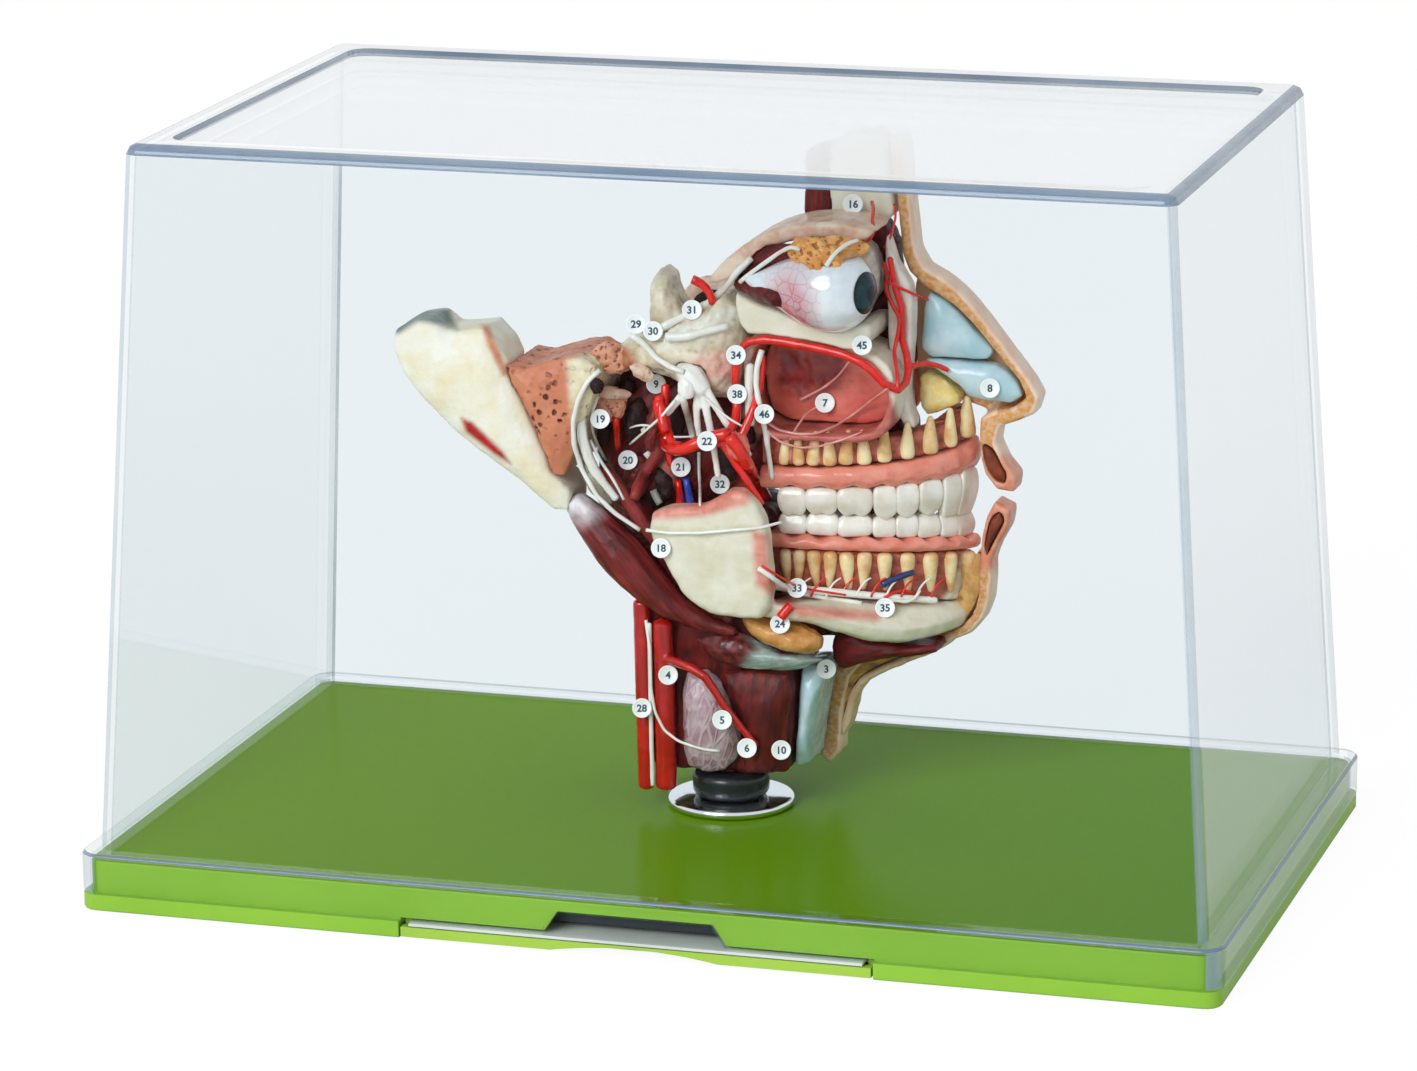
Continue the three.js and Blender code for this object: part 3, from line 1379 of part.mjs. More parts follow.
const head = new THREE.Group();
head.position.set(headX, headY, headFoot);
const headSolids = beddedSolids(headPieces.map(([, , parts]) => parts));
headPieces.forEach(([name, paint], i) => head.add(meshOf(name, paint, headSolids[i])));

const cover = new THREE.Group();
cover.add(meshOf("dust_cover", "clear", castCover()));

const drawer = new THREE.Group();
drawer.add(meshOf("card_drawer", "moss", castDrawer()), meshOf("key_card", "card", castCard()));

const model = new THREE.Group();
model.name = "anatomical_head_model";
model.add(stand, head, cover, drawer);

export default model;
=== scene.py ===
"""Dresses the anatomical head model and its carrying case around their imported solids."""

from __future__ import annotations

import json
import logging
import math
from dataclasses import dataclass, replace
from enum import Enum

import bpy
import numpy as np
from mathutils import Matrix, Vector
from mathutils.bvhtree import BVHTree
from mathutils.kdtree import KDTree

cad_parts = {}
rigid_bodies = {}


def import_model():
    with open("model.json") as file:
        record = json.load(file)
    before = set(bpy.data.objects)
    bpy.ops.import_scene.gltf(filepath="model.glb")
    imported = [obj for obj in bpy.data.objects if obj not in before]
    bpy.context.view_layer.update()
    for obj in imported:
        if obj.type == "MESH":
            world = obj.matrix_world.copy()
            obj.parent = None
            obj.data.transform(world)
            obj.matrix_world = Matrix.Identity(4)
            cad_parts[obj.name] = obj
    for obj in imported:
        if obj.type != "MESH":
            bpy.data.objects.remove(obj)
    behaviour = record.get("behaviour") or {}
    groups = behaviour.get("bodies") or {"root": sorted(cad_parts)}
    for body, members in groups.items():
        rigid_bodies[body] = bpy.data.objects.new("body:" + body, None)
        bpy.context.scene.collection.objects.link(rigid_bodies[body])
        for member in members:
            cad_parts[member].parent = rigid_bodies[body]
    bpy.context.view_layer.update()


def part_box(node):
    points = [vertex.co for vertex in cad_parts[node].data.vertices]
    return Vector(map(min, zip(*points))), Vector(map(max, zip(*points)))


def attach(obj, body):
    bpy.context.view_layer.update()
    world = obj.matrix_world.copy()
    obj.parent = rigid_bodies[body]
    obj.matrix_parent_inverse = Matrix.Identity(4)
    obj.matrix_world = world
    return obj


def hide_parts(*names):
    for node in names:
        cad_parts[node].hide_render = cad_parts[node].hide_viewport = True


log = logging.getLogger("head_model")

MM = 0.001
Value = float | tuple[float, ...]
Triple = tuple[float, float, float]
Route = tuple[tuple[float, float], ...]
Hit = tuple[Vector, Vector, float]
Piece = bpy.types.Object


def paint(code: str) -> tuple[float, float, float, float]:
    """Turns a written colour such as d8cdb0 into the shader's linear colour.

    Args:
        code: Six hex digits.

    Returns:
        Red, green, blue and a full alpha.
    """
    parts = [int(code[i : i + 2], 16) / 255 for i in (0, 2, 4)]
    linear = [c / 12.92 if c <= 0.04045 else ((c + 0.055) / 1.055) ** 2.4 for c in parts]
    return (*linear, 1.0)


# Shader bench

class Signal:
    """One shader socket that takes part in Python sums."""

    def __init__(self, bench: ShaderBench, socket: bpy.types.NodeSocket) -> None:
        """Keeps the bench that adds the nodes, and the socket."""
        self.bench = bench
        self.socket = socket

    def __add__(self, other: Signal | float) -> Signal:
        """Adds."""
        return self.bench.math("ADD", self, other)

    def __sub__(self, other: Signal | float) -> Signal:
        """Takes away."""
        return self.bench.math("SUBTRACT", self, other)

    def __mul__(self, other: Signal | float) -> Signal:
        """Multiplies."""
        return self.bench.math("MULTIPLY", self, other)

    def __rsub__(self, other: float) -> Signal:
        """Takes this signal away from a number."""
        return self.bench.math("SUBTRACT", other, self)

    def __pow__(self, other: float) -> Signal:
        """Raises to a power."""
        return self.bench.math("POWER", self, other)

    __radd__ = __add__
    __rmul__ = __mul__

    def span(self, low: float, high: float) -> Signal:
        """Stretches low to high over 0 to 1, and keeps it there."""
        return self.bench.node(
            "ShaderNodeMapRange", {"clamp": True, "interpolation_type": "SMOOTHSTEP"},
            {"Value": self, "From Min": low, "From Max": high}, "Result",
        )


class ShaderBench:
    """Lays out the nodes of one material, or of the world."""

    def __init__(self, holder: bpy.types.Material | bpy.types.World) -> None:
        """Empties the node tree of a new material or world."""
        self.holder = holder
        holder.use_nodes = True
        self.tree = holder.node_tree
        self.tree.nodes.clear()

    def node(self, kind: str, settings: dict, inputs: dict, output: str | int | None = 0) -> Signal | None:
        """Adds a node.

        Args:
            kind: The node's type.
            settings: Its own settings, set before its sockets.
            inputs: Values or signals by socket name or number.
            output: The socket that is passed on, or None for a node that ends the tree.

        Returns:
            The signal of that output.
        """
        made = self.tree.nodes.new(kind)
        for key, value in settings.items():
            setattr(made, key, value)
        for key, value in inputs.items():
            socket = made.inputs[key]
            if isinstance(value, Signal):
                self.tree.links.new(value.socket, socket)
            else:
                socket.default_value = value
        return None if output is None else Signal(self, made.outputs[output])

    def math(self, operation: str, *values: Signal | float) -> Signal:
        """Adds a Math node of that operation."""
        return self.node("ShaderNodeMath", {"operation": operation}, dict(enumerate(values)))

    def place(self, lean: float = 0.0, stretch: Triple = (1, 1, 1)) -> Signal:
        """The surface's own coordinates, turned by lean degrees about Y and then stretched."""
        plain = self.node("ShaderNodeTexCoord", {}, {}, "Object")
        turned = self.node("ShaderNodeMapping", {}, {"Vector": plain, "Rotation": (0, math.radians(lean), 0)})
        return self.node("ShaderNodeMapping", {}, {"Vector": turned, "Scale": stretch})

    def noise(self, where: Signal, size: float, detail: float = 3.0, rough: float = 0.55) -> Signal:
        """Cloudy noise whose lumps are about size metres across."""
        return self.node(
            "ShaderNodeTexNoise", {},
            {"Vector": where, "Scale": 1 / size, "Detail": detail, "Roughness": rough}, "Fac",
        )

    def cells(self, where: Signal, size: float, feature: str = "F1") -> Signal:
        """Distance field of cells about size metres across."""
        return self.node(
            "ShaderNodeTexVoronoi", {"feature": feature}, {"Vector": where, "Scale": 1 / size}, "Distance",
        )

    def mark(self, name: str) -> Signal:
        """A value that the mesh carries under that name."""
        return self.node("ShaderNodeAttribute", {"attribute_name": name}, {}, "Fac")

    def mix(self, share: Signal | float, first: Signal | Value, second: Signal | Value) -> Signal:
        """Blends two colours."""
        return self.node("ShaderNodeMix", {"data_type": "RGBA"}, {0: share, 6: first, 7: second}, 2)

    def bump(self, height: Signal, depth: float) -> Signal:
        """Turns a height into a normal, with depth in metres for a height of 1."""
        return self.node("ShaderNodeBump", {}, {"Strength": 1.0, "Distance": depth, "Height": height}, "Normal")

    def finish(self, shader: Signal, output: str = "ShaderNodeOutputMaterial") -> bpy.types.ID:
        """Connects the last shader and returns the material or world."""
        self.node(output, {}, {"Surface": shader}, None)
        return self.holder

    def surface(self, inputs: dict) -> bpy.types.Material:
        """Ends the material in a Principled shader with these inputs."""
        return self.finish(self.node("ShaderNodeBsdfPrincipled", {}, inputs))


class Slot(Enum):
    """Names of the record's material slots, which the finishes and the tables of pieces carry."""

    MOSS = "moss"
    CLEAR = "clear"
    CARD = "card"
    CHROME = "chrome"
    BLACK = "blackened"
    SKIN = "skin"
    BONE = "bone"
    FLESH = "flesh"
    DARK = "dark_flesh"
    GUM = "gum"
    TOOTH = "tooth"
    ROOT = "root"
    MUCOSA = "mucosa"
    ARTERY = "artery"
    NERVE = "nerve"
    CARTILAGE = "cartilage"
    FAT = "fat"
    GLAND = "gland"
    SCLERA = "sclera"
    MARROW = "marrow"
    FASCIA = "fascia"
    PINK = "gland_pink"


# Finishes

# The part of its range that is stretched over 0 to 1 in blotches, streaks, worn spots and the painted shade of
# recesses.
CLOUDS = (0.3, 0.7)
STREAKS = (0.32, 0.68)
WORN = (0.35, 0.7)
RECESSES = (0.02, 0.5)
# How much worn spots add to a paint's roughness, and how rough and shiny its varnish is.
WEAR = 0.16
VARNISH = 0.12
SHEEN = 0.22


@dataclass(frozen=True)
class Finish:
    """A material that is made once, with the record's slot of what wears it."""

    name: str
    slot: Slot


@dataclass(frozen=True)
class Painted(Finish):
    """A hand-painted casting under a thin varnish: bone, muscle, gland or nerve."""

    light: str
    mid: str
    # The deep colour is the painted shade of the recesses, and also the colour of fibre streaks and open cells.
    deep: str
    blotch: float = 0.012
    grain: float = 0.0012
    lean: float = 0.0
    stretch: float = 1.0
    fibre: float = 0.0
    relief: float = 0.00012
    # How far the recesses are darkened towards the deep colour: painted shade.
    recess_shade: float = 0.7
    rough: float = 0.36
    coat: float = 0.35
    worn: float = 0.006
    patches: tuple[tuple[str, str], ...] = ()

    def colour(self, bench: ShaderBench) -> Signal:
        """The paint's colour with its patches, and painted shade that darkens the recesses towards the deep colour.
        """
        painted = self.body(bench)
        mottle = bench.noise(bench.place(), self.blotch * 0.5, 4).span(*CLOUDS)
        for index, (light, mid) in enumerate(self.patches):
            second = bench.mix(mottle, paint(mid), paint(light))
            painted = bench.mix(bench.mark(f"patch_{index}"), painted, second)
        recess = bench.mark("recess").span(*RECESSES)
        return bench.mix(recess * self.recess_shade, painted, paint(self.deep))

    def along(self, bench: ShaderBench) -> Signal:
        """Coordinates drawn out along the fibres."""
        return bench.place(self.lean, (1, 1, 1 / self.stretch))

    def body(self, bench: ShaderBench) -> Signal:
        """The paint's own colour, with streaks along the fibres."""
        clouds = bench.noise(bench.place(), self.blotch, 4).span(*CLOUDS)
        streaks = bench.noise(self.along(bench), self.grain * 2, 3).span(*STREAKS)
        body = bench.mix(clouds * (1 - self.fibre * 0.6), paint(self.mid), paint(self.light))
        thread = paint(self.deep if self.fibre else self.light)
        return bench.mix(streaks * (0.25 + self.fibre * 0.65), body, thread)

    def height(self, bench: ShaderBench) -> Signal:
        """The fine relief of brush and casting."""
        return bench.noise(self.along(bench), self.grain, 4, 0.62)

    def make(self) -> bpy.types.Material:
        """Builds the material."""
        bench = ShaderBench(bpy.data.materials.new(self.name))
        worn = bench.noise(bench.place(), self.worn, 3).span(*WORN)
        return bench.surface({
            "Base Color": self.colour(bench),
            "Roughness": worn * WEAR + (self.rough - WEAR / 2),
            "Normal": bench.bump(self.height(bench), self.relief),
            "Coat Weight": self.coat,
            "Coat Roughness": VARNISH,
            "Specular IOR Level": SHEEN,
        })


@dataclass(frozen=True)
class Porous(Painted):
    """Cut bone with open cells."""

    pore: float = 0.0026
    patchy: float = 0.007
    warp: float = 0.0022
    warp_scale: float = 300.0
    pit: float = 3.0
    walls: tuple[float, float] = (0.16, 0.42)
    open_parts: tuple[float, float] = (0.42, 0.62)

    def open_cells(self, bench: ShaderBench) -> Signal:
        """1 inside a cell, 0 on the walls between them."""
        place = bench.place()
        stir = bench.node("ShaderNodeTexNoise", {}, {"Vector": place, "Scale": self.warp_scale}, "Color")
        shift = bench.node("ShaderNodeVectorMath", {"operation": "SCALE"}, {0: stir, "Scale": self.warp})
        warped = bench.node("ShaderNodeVectorMath", {"operation": "ADD"}, {0: place, 1: shift})
        near = bench.cells(warped, self.pore)
        large = bench.noise(place, self.patchy, 2).span(*self.open_parts)
        return (1 - near.span(*self.walls)) * large

    def body(self, bench: ShaderBench) -> Signal:
        """Warm cut bone, dark inside its cells."""
        return bench.mix(self.open_cells(bench), Painted.body(self, bench), paint(self.deep))

    def height(self, bench: ShaderBench) -> Signal:
        """The cells as holes in the grain."""
        return Painted.height(self, bench) * 0.2 - self.open_cells(bench) * self.pit


@dataclass(frozen=True)
class Netted(Painted):
    """A gland's lobes with pale threads between them."""

    lobe: float = 0.0024
    thread: tuple[float, float] = (0.03, 0.16)
    pallor: float = 0.85

    def threads(self, bench: ShaderBench) -> Signal:
        """1 on the threads and 0 on the lobes."""
        return 1 - bench.cells(self.along(bench), self.lobe, "DISTANCE_TO_EDGE").span(*self.thread)

    def body(self, bench: ShaderBench) -> Signal:
        """Lobes in the mid colour under the light threads."""
        return bench.mix(self.threads(bench) * self.pallor, Painted.body(self, bench), paint(self.light))

    def height(self, bench: ShaderBench) -> Signal:
        """The threads stand proud."""
        return Painted.height(self, bench) * 0.5 + self.threads(bench)


@dataclass(frozen=True)
class Layered(Painted):
    """Cut skin: outer skin, then fat, then the paler lining, by the mesh's depth mark."""

    fat: str = "e0a84e"
    inner: str = "d9a68a"
    skin_depth: float = 0.2
    skin_blur: float = 0.06
    fat_depth: float = 0.86
    fat_blur: float = 0.05
    waver: float = 0.16

    def body(self, bench: ShaderBench) -> Signal:
        """The layers from the outside in."""
        waver = bench.noise(bench.place(), 0.004, 3) * self.waver - self.waver / 2
        depth = bench.mark("skin_depth") + waver
        outer = Painted.body(self, bench)
        speck = bench.noise(bench.place(), 0.0014, 2).span(0.35, 0.65)
        fat = bench.mix(speck * 0.35, paint(self.fat), paint(self.light))
        under_skin = depth.span(self.skin_depth - self.skin_blur, self.skin_depth + self.skin_blur)
        under_fat = depth.span(self.fat_depth - self.fat_blur, self.fat_depth + self.fat_blur)
        return bench.mix(under_fat, bench.mix(under_skin, outer, fat), paint(self.inner))


@dataclass(frozen=True)
class Moulded(Finish):
    """A plain moulded or machined finish of the case and stand."""

    body: str
    shade: str
    rough: float = 0.3
    metal: float = 0.0
    grain: float = 0.0008
    relief: float = 0.00002
    coat: float = 0.0
    haze: float = 0.1
    gloss: float = 0.5
    shaded_by_mark: bool = False

    def make(self) -> bpy.types.Material:
        """Builds the material."""
        bench = ShaderBench(bpy.data.materials.new(self.name))
        place = bench.place()
        # On the shaded top the mark paints shade that deepens towards the right, in place of the random clouds.
        clouds = bench.mark("dusk") if self.shaded_by_mark else bench.noise(place, 0.06, 3).span(*CLOUDS)
        return bench.surface({
            "Base Color": bench.mix(clouds, paint(self.body), paint(self.shade)),
            "Roughness": bench.noise(place, 0.02, 3).span(*CLOUDS) * self.haze + self.rough,
            "Metallic": self.metal,
            "Coat Weight": self.coat,
            "Coat Roughness": 0.05,
            "Specular IOR Level": self.gloss,
            "Normal": bench.bump(bench.noise(place, self.grain, 3), self.relief),
        })


@dataclass(frozen=True)
class Acrylic(Finish):
    """Clear sheet, with an edge colour painted along its bends as the shade of the light that runs and refracts
    there.
    """

    name: str = "clear_acrylic"
    slot: Slot = Slot.CLEAR
    tint: str = "f9fbfc"
    # The edge colour is painted shade along the bends and corners.
    edge: str = "5d7690"
    painted_edge_share: float = 0.0
    veil: float = 0.0

    def make(self) -> bpy.types.Material:
        """Builds the material."""
        bench = ShaderBench(bpy.data.materials.new(self.name))
        facing = bench.node("ShaderNodeLayerWeight", {}, {"Blend": 0.5}, "Facing")
        gloss = facing**2 * self.veil if self.veil else facing**5 * 0.8 + 0.002
        clear = bench.node("ShaderNodeBsdfTransparent", {}, {"Color": paint(self.tint)})
        mirror = bench.node("ShaderNodeBsdfGlossy", {}, {"Color": (1, 1, 1, 1), "Roughness": 0.03})
        sheet = bench.node("ShaderNodeMixShader", {}, {0: gloss, 1: clear, 2: mirror})
        if not self.painted_edge_share:
            return bench.finish(sheet)
        # Painted shade: the edge colour is mixed in with a streaky share, less where the bend faces away.
        rim = bench.node("ShaderNodeBsdfPrincipled", {}, {"Base Color": paint(self.edge), "Roughness": 0.1})
        behind = bench.node("ShaderNodeNewGeometry", {}, {}, "Backfacing")
        streak = bench.noise(bench.place(), 0.05, 3).span(0.2, 0.8) * 0.25 + (self.painted_edge_share - 0.12)
        shown = streak * (1 - behind * 0.55)
        return bench.finish(bench.node("ShaderNodeMixShader", {}, {0: shown, 1: sheet, 2: rim}))


@dataclass(frozen=True)
class Eye(Finish):
    """Sclera with a flush of blood vessels towards its outer corner."""

    name: str = "eye_white"
    slot: Slot = Slot.SCLERA

    def make(self) -> bpy.types.Material:
        """Builds the material."""
        bench = ShaderBench(bpy.data.materials.new(self.name))
        place = bench.place()
        veins = 1 - bench.cells(place, 0.0035, "DISTANCE_TO_EDGE").span(0.0, 0.09)
        flush = bench.mark("flush")
        cloud = bench.noise(place, 0.005, 3).span(*CLOUDS)
        white = bench.mix(cloud, paint("dfe3ea"), paint("eef0f2"))
        pink = bench.mix(flush * (cloud * 0.4 + 0.68), white, paint("cc7078"))
        colour = bench.mix(veins * flush * 0.6 + veins * 0.05, pink, paint("b9474f"))
        return bench.surface({
            "Base Color": colour, "Roughness": 0.14, "Coat Weight": 0.8,
            "Normal": bench.bump(bench.noise(place, 0.002, 2), 0.00002),
        })


@dataclass(frozen=True)
class Iris(Finish):
    """Radial teal iris round a black pupil, by the mesh's radius mark."""

    name: str = "eye_iris"
    slot: Slot = Slot.SCLERA
    pupil: tuple[float, float] = (0.36, 0.44)
    rim: tuple[float, float] = (0.72, 0.98)

    def make(self) -> bpy.types.Material:
        """Builds the material."""
        bench = ShaderBench(bpy.data.materials.new(self.name))
        radius = bench.mark("radius")
        rays = bench.noise(bench.place(), 0.0009, 3).span(0.35, 0.65)
        ring = bench.mix(rays, paint("06262b"), paint("133e45"))
        body = bench.mix(radius.span(*self.rim), ring, paint("0d1c22"))
        colour = bench.mix(radius.span(*self.pupil), paint("050607"), body)
        return bench.surface({
            "Base Color": colour, "Roughness": 0.1, "Coat Weight": 0.15, "Specular IOR Level": 0.25,
            "Normal": bench.bump(rays, 0.00001),
        })


BONE = Painted("bone_cream", Slot.BONE, "efe9d8", "e3d8bd", "b8a37c", rough=0.4, coat=0.2, recess_shade=0.65)
JAW_BONE = replace(BONE, name="bone_jaw", light="ebe4d2", mid="dbd0b3", deep="ab9a72", blotch=0.009)
TEMPLE_BONE = replace(
    BONE, name="bone_temple", light="f6f1e4", mid="eedfb9", deep="bda27a", blotch=0.01, rough=0.5, coat=0.05,
    relief=0.0003, grain=0.0016,
)
SKULL_BONE = replace(BONE, name="bone_skull_base", light="eadfc8", mid="cab795", deep="64492f", blotch=0.006)
NOSE_BONE = replace(BONE, name="bone_nose", light="f3ebe1", mid="dfc9ba", deep="a4634e", blotch=0.005)
RIM_BONE = replace(BONE, name="bone_rim", light="ecd2bc", mid="d59f84", deep="9c4a3a", blotch=0.005)
MARROW = Porous(
    "cut_marrow", Slot.MARROW, "d98a68", "c47354", "5f2118", blotch=0.01, relief=0.0003, rough=0.5, coat=0.1,
)
MUSCLE = Painted(
    "muscle_red", Slot.FLESH, "a8403a", "761e1e", "310709", blotch=0.01, grain=0.0011, stretch=9, fibre=0.7,
    relief=0.00035, rough=0.42, coat=0.06, recess_shade=0.85,
)
DARK_MUSCLE = replace(
    MUSCLE, name="muscle_dark", slot=Slot.DARK, light="922622", mid="641313", deep="210405", coat=0.02,
)
STRAP_MUSCLE = replace(MUSCLE, name="muscle_strap", light="94302a", mid="5c130f", deep="1e0402", coat=0.02)
MUCOSA = Painted(
    "sinus_mucosa", Slot.MUCOSA, "e67a68", "cc4e40", "78201c", blotch=0.011, grain=0.002, relief=0.0002,
    rough=0.26, coat=0.6, recess_shade=0.8,
)
GUM = Painted(
    "gum_pink", Slot.GUM, "f09a86", "e27862", "b0493c", blotch=0.007, grain=0.0016, relief=0.00016,
    rough=0.24, coat=0.6, recess_shade=0.75,
)
# The bed's red-brown is darkened as painted shadow in the gaps between the roots.
BED = replace(
    GUM, name="root_bed", slot=Slot.ROOT, light="bf6650", mid="8c3a2b", deep="3c110c", blotch=0.003, coat=0.3,
)
ENAMEL = Painted(
    "tooth_enamel", Slot.TOOTH, "f3ece2", "e2d5c4", "9c8060", blotch=0.006, grain=0.003, relief=0.00004,
    rough=0.18, coat=0.7, recess_shade=0.75,
)
ROOT = replace(
    ENAMEL, name="tooth_root", slot=Slot.ROOT, light="fae6b4", mid="dfa868", deep="7a3f1c", rough=0.34, coat=0.2,
)
ARTERY = Painted(
    "artery_red", Slot.ARTERY, "e91c0a", "cf1206", "780703", blotch=0.006, grain=0.002, relief=0.00008,
    rough=0.24, coat=0.7, recess_shade=0.6,
)
CAROTID = replace(ARTERY, name="carotid_red", light="c41409", mid="a20d06", deep="520402")
VEIN = replace(ARTERY, name="vein_blue", light="2f5fd0", mid="2448a8", deep="101c4c")
NAVY_VEIN = replace(VEIN, name="vein_navy", light="2c3a78", mid="1c2450", deep="0c1028")
DARK_VEIN = replace(MUSCLE, name="vein_dark", slot=Slot.ARTERY, stretch=1, fibre=0)
THREAD = replace(ARTERY, name="thread_pink", slot=Slot.MUCOSA, light="e7a79a", mid="d98a7c", deep="a04c44")
NERVE = Painted(
    "nerve_white", Slot.NERVE, "f4f2ec", "e6e1d2", "a89f8a", blotch=0.006, grain=0.0008, stretch=6,
    relief=0.00008, rough=0.3, coat=0.5, recess_shade=0.7,
)
GREY_NERVE = replace(NERVE, name="nerve_grey", mid="c9c9c4", deep="85817a")
ROSE_NERVE = replace(NERVE, name="nerve_rose", light="f3cfc2", mid="dfa595")
CARTILAGE = Painted(
    "cartilage_blue", Slot.CARTILAGE, "cfe0e4", "a6cbd4", "6f98a6", blotch=0.008, grain=0.0016, stretch=4, lean=40,
    relief=0.0001, rough=0.26, coat=0.6, recess_shade=0.6,
)
FAT = Painted(
    "fat_yellow", Slot.FAT, "fdeab4", "f4d48c", "c0924a", blotch=0.004, grain=0.002, relief=0.0003,
    rough=0.3, coat=0.5, recess_shade=0.75,
)
ALAR_FAT = replace(FAT, name="fat_alar", light="ffe9a6", mid="fad070", deep="cf9838")
CUT_FAT = replace(FAT, name="fat_cut", light="d9a865", mid="b98350", deep="6e4020", blotch=0.003, coat=0.1)
GLAND = Painted(
    "gland_orange", Slot.GLAND, "e0a05c", "c47c38", "8a4519", blotch=0.004, grain=0.0016, relief=0.0004,
    rough=0.32, coat=0.5, recess_shade=0.8,
)
THYROID = Netted(
    "gland_pink", Slot.PINK, "c4aab2", "935f6a", "481a22", blotch=0.006, lean=10, stretch=3, relief=0.0002,
    rough=0.34, coat=0.4,
)
FASCIA = Painted(
    "fascia_grey", Slot.FASCIA, "c5d0c8", "8fa39c", "3f4a44", blotch=0.005, grain=0.001, stretch=5, fibre=0.4,
    relief=0.0002, rough=0.34, coat=0.4, recess_shade=0.8,
)
SKIN = Layered(
    "skin_cut", Slot.SKIN, "f7dac4", "efbf9f", "b96c48", blotch=0.006, grain=0.0014, relief=0.00012,
    rough=0.36, coat=0.25, recess_shade=0.6, fat="d8954c", inner="d9a780",
)
LOWER_SKIN = replace(SKIN, name="skin_cut_lower", fat="c88a4c", inner="b06c3e")
SKIN_EDGE = Painted("skin_edge", Slot.SKIN, "f3d2b4", "e6b48c", "b4704a", blotch=0.006, rough=0.36, coat=0.2)
LIP = replace(MUSCLE, name="lip_muscle", light="a44c2c", mid="80361f", deep="3f1408", fibre=0.3, stretch=2)

# The sides and the top of the base are lit and shaded copies of one plastic: the top is painted shade, darker than
# the sides.
MOSS = Moulded(
    "moss_plastic", Slot.MOSS, "8ab841", "82b03b", rough=0.2, grain=0.0006, gloss=0.1, haze=0.03, relief=0.000006,
)
MOSS_TOP_SHADED = replace(MOSS, name="moss_plastic_top", body="739c0c", shade="5d8b08", gloss=0.02, shaded_by_mark=True)
DRAWER = replace(MOSS, name="moss_drawer", body="9cc04c", shade="93b646")
CARD = Moulded("card_board", Slot.CARD, "c9cfcf", "b9c0c1", rough=0.55, grain=0.0005, relief=0.00003)
CHROME = Moulded("chrome_plate", Slot.CHROME, "e8ebee", "dfe3e8", rough=0.05, metal=1.0, haze=0.05, relief=0.000004)
BLACKED = Moulded("blackened_steel", Slot.BLACK, "23262a", "17191c", rough=0.2, metal=0.25)
# The colour of a plate that stands in for the shade inside the base.
NOTCH_SHADE = Moulded("baffle_black", Slot.BLACK, "232c36", "1a222b", rough=0.6)
WHITE = Moulded("tag_white", Slot.SCLERA, "ffffff", "f7f7f3", rough=0.4, coat=0.1)
INK = Moulded("tag_ink", Slot.SCLERA, "2b4a5a", "243f4d", rough=0.5)


# Workbench

# Steps for Workbench.edit.
WELD = (bpy.ops.mesh.remove_doubles, {"threshold": 1e-6})
FACE_OUT = (bpy.ops.mesh.normals_make_consistent, {"inside": False})
FLATTEN = (bpy.ops.mesh.dissolve_limited, {"angle_limit": math.radians(0.6)})


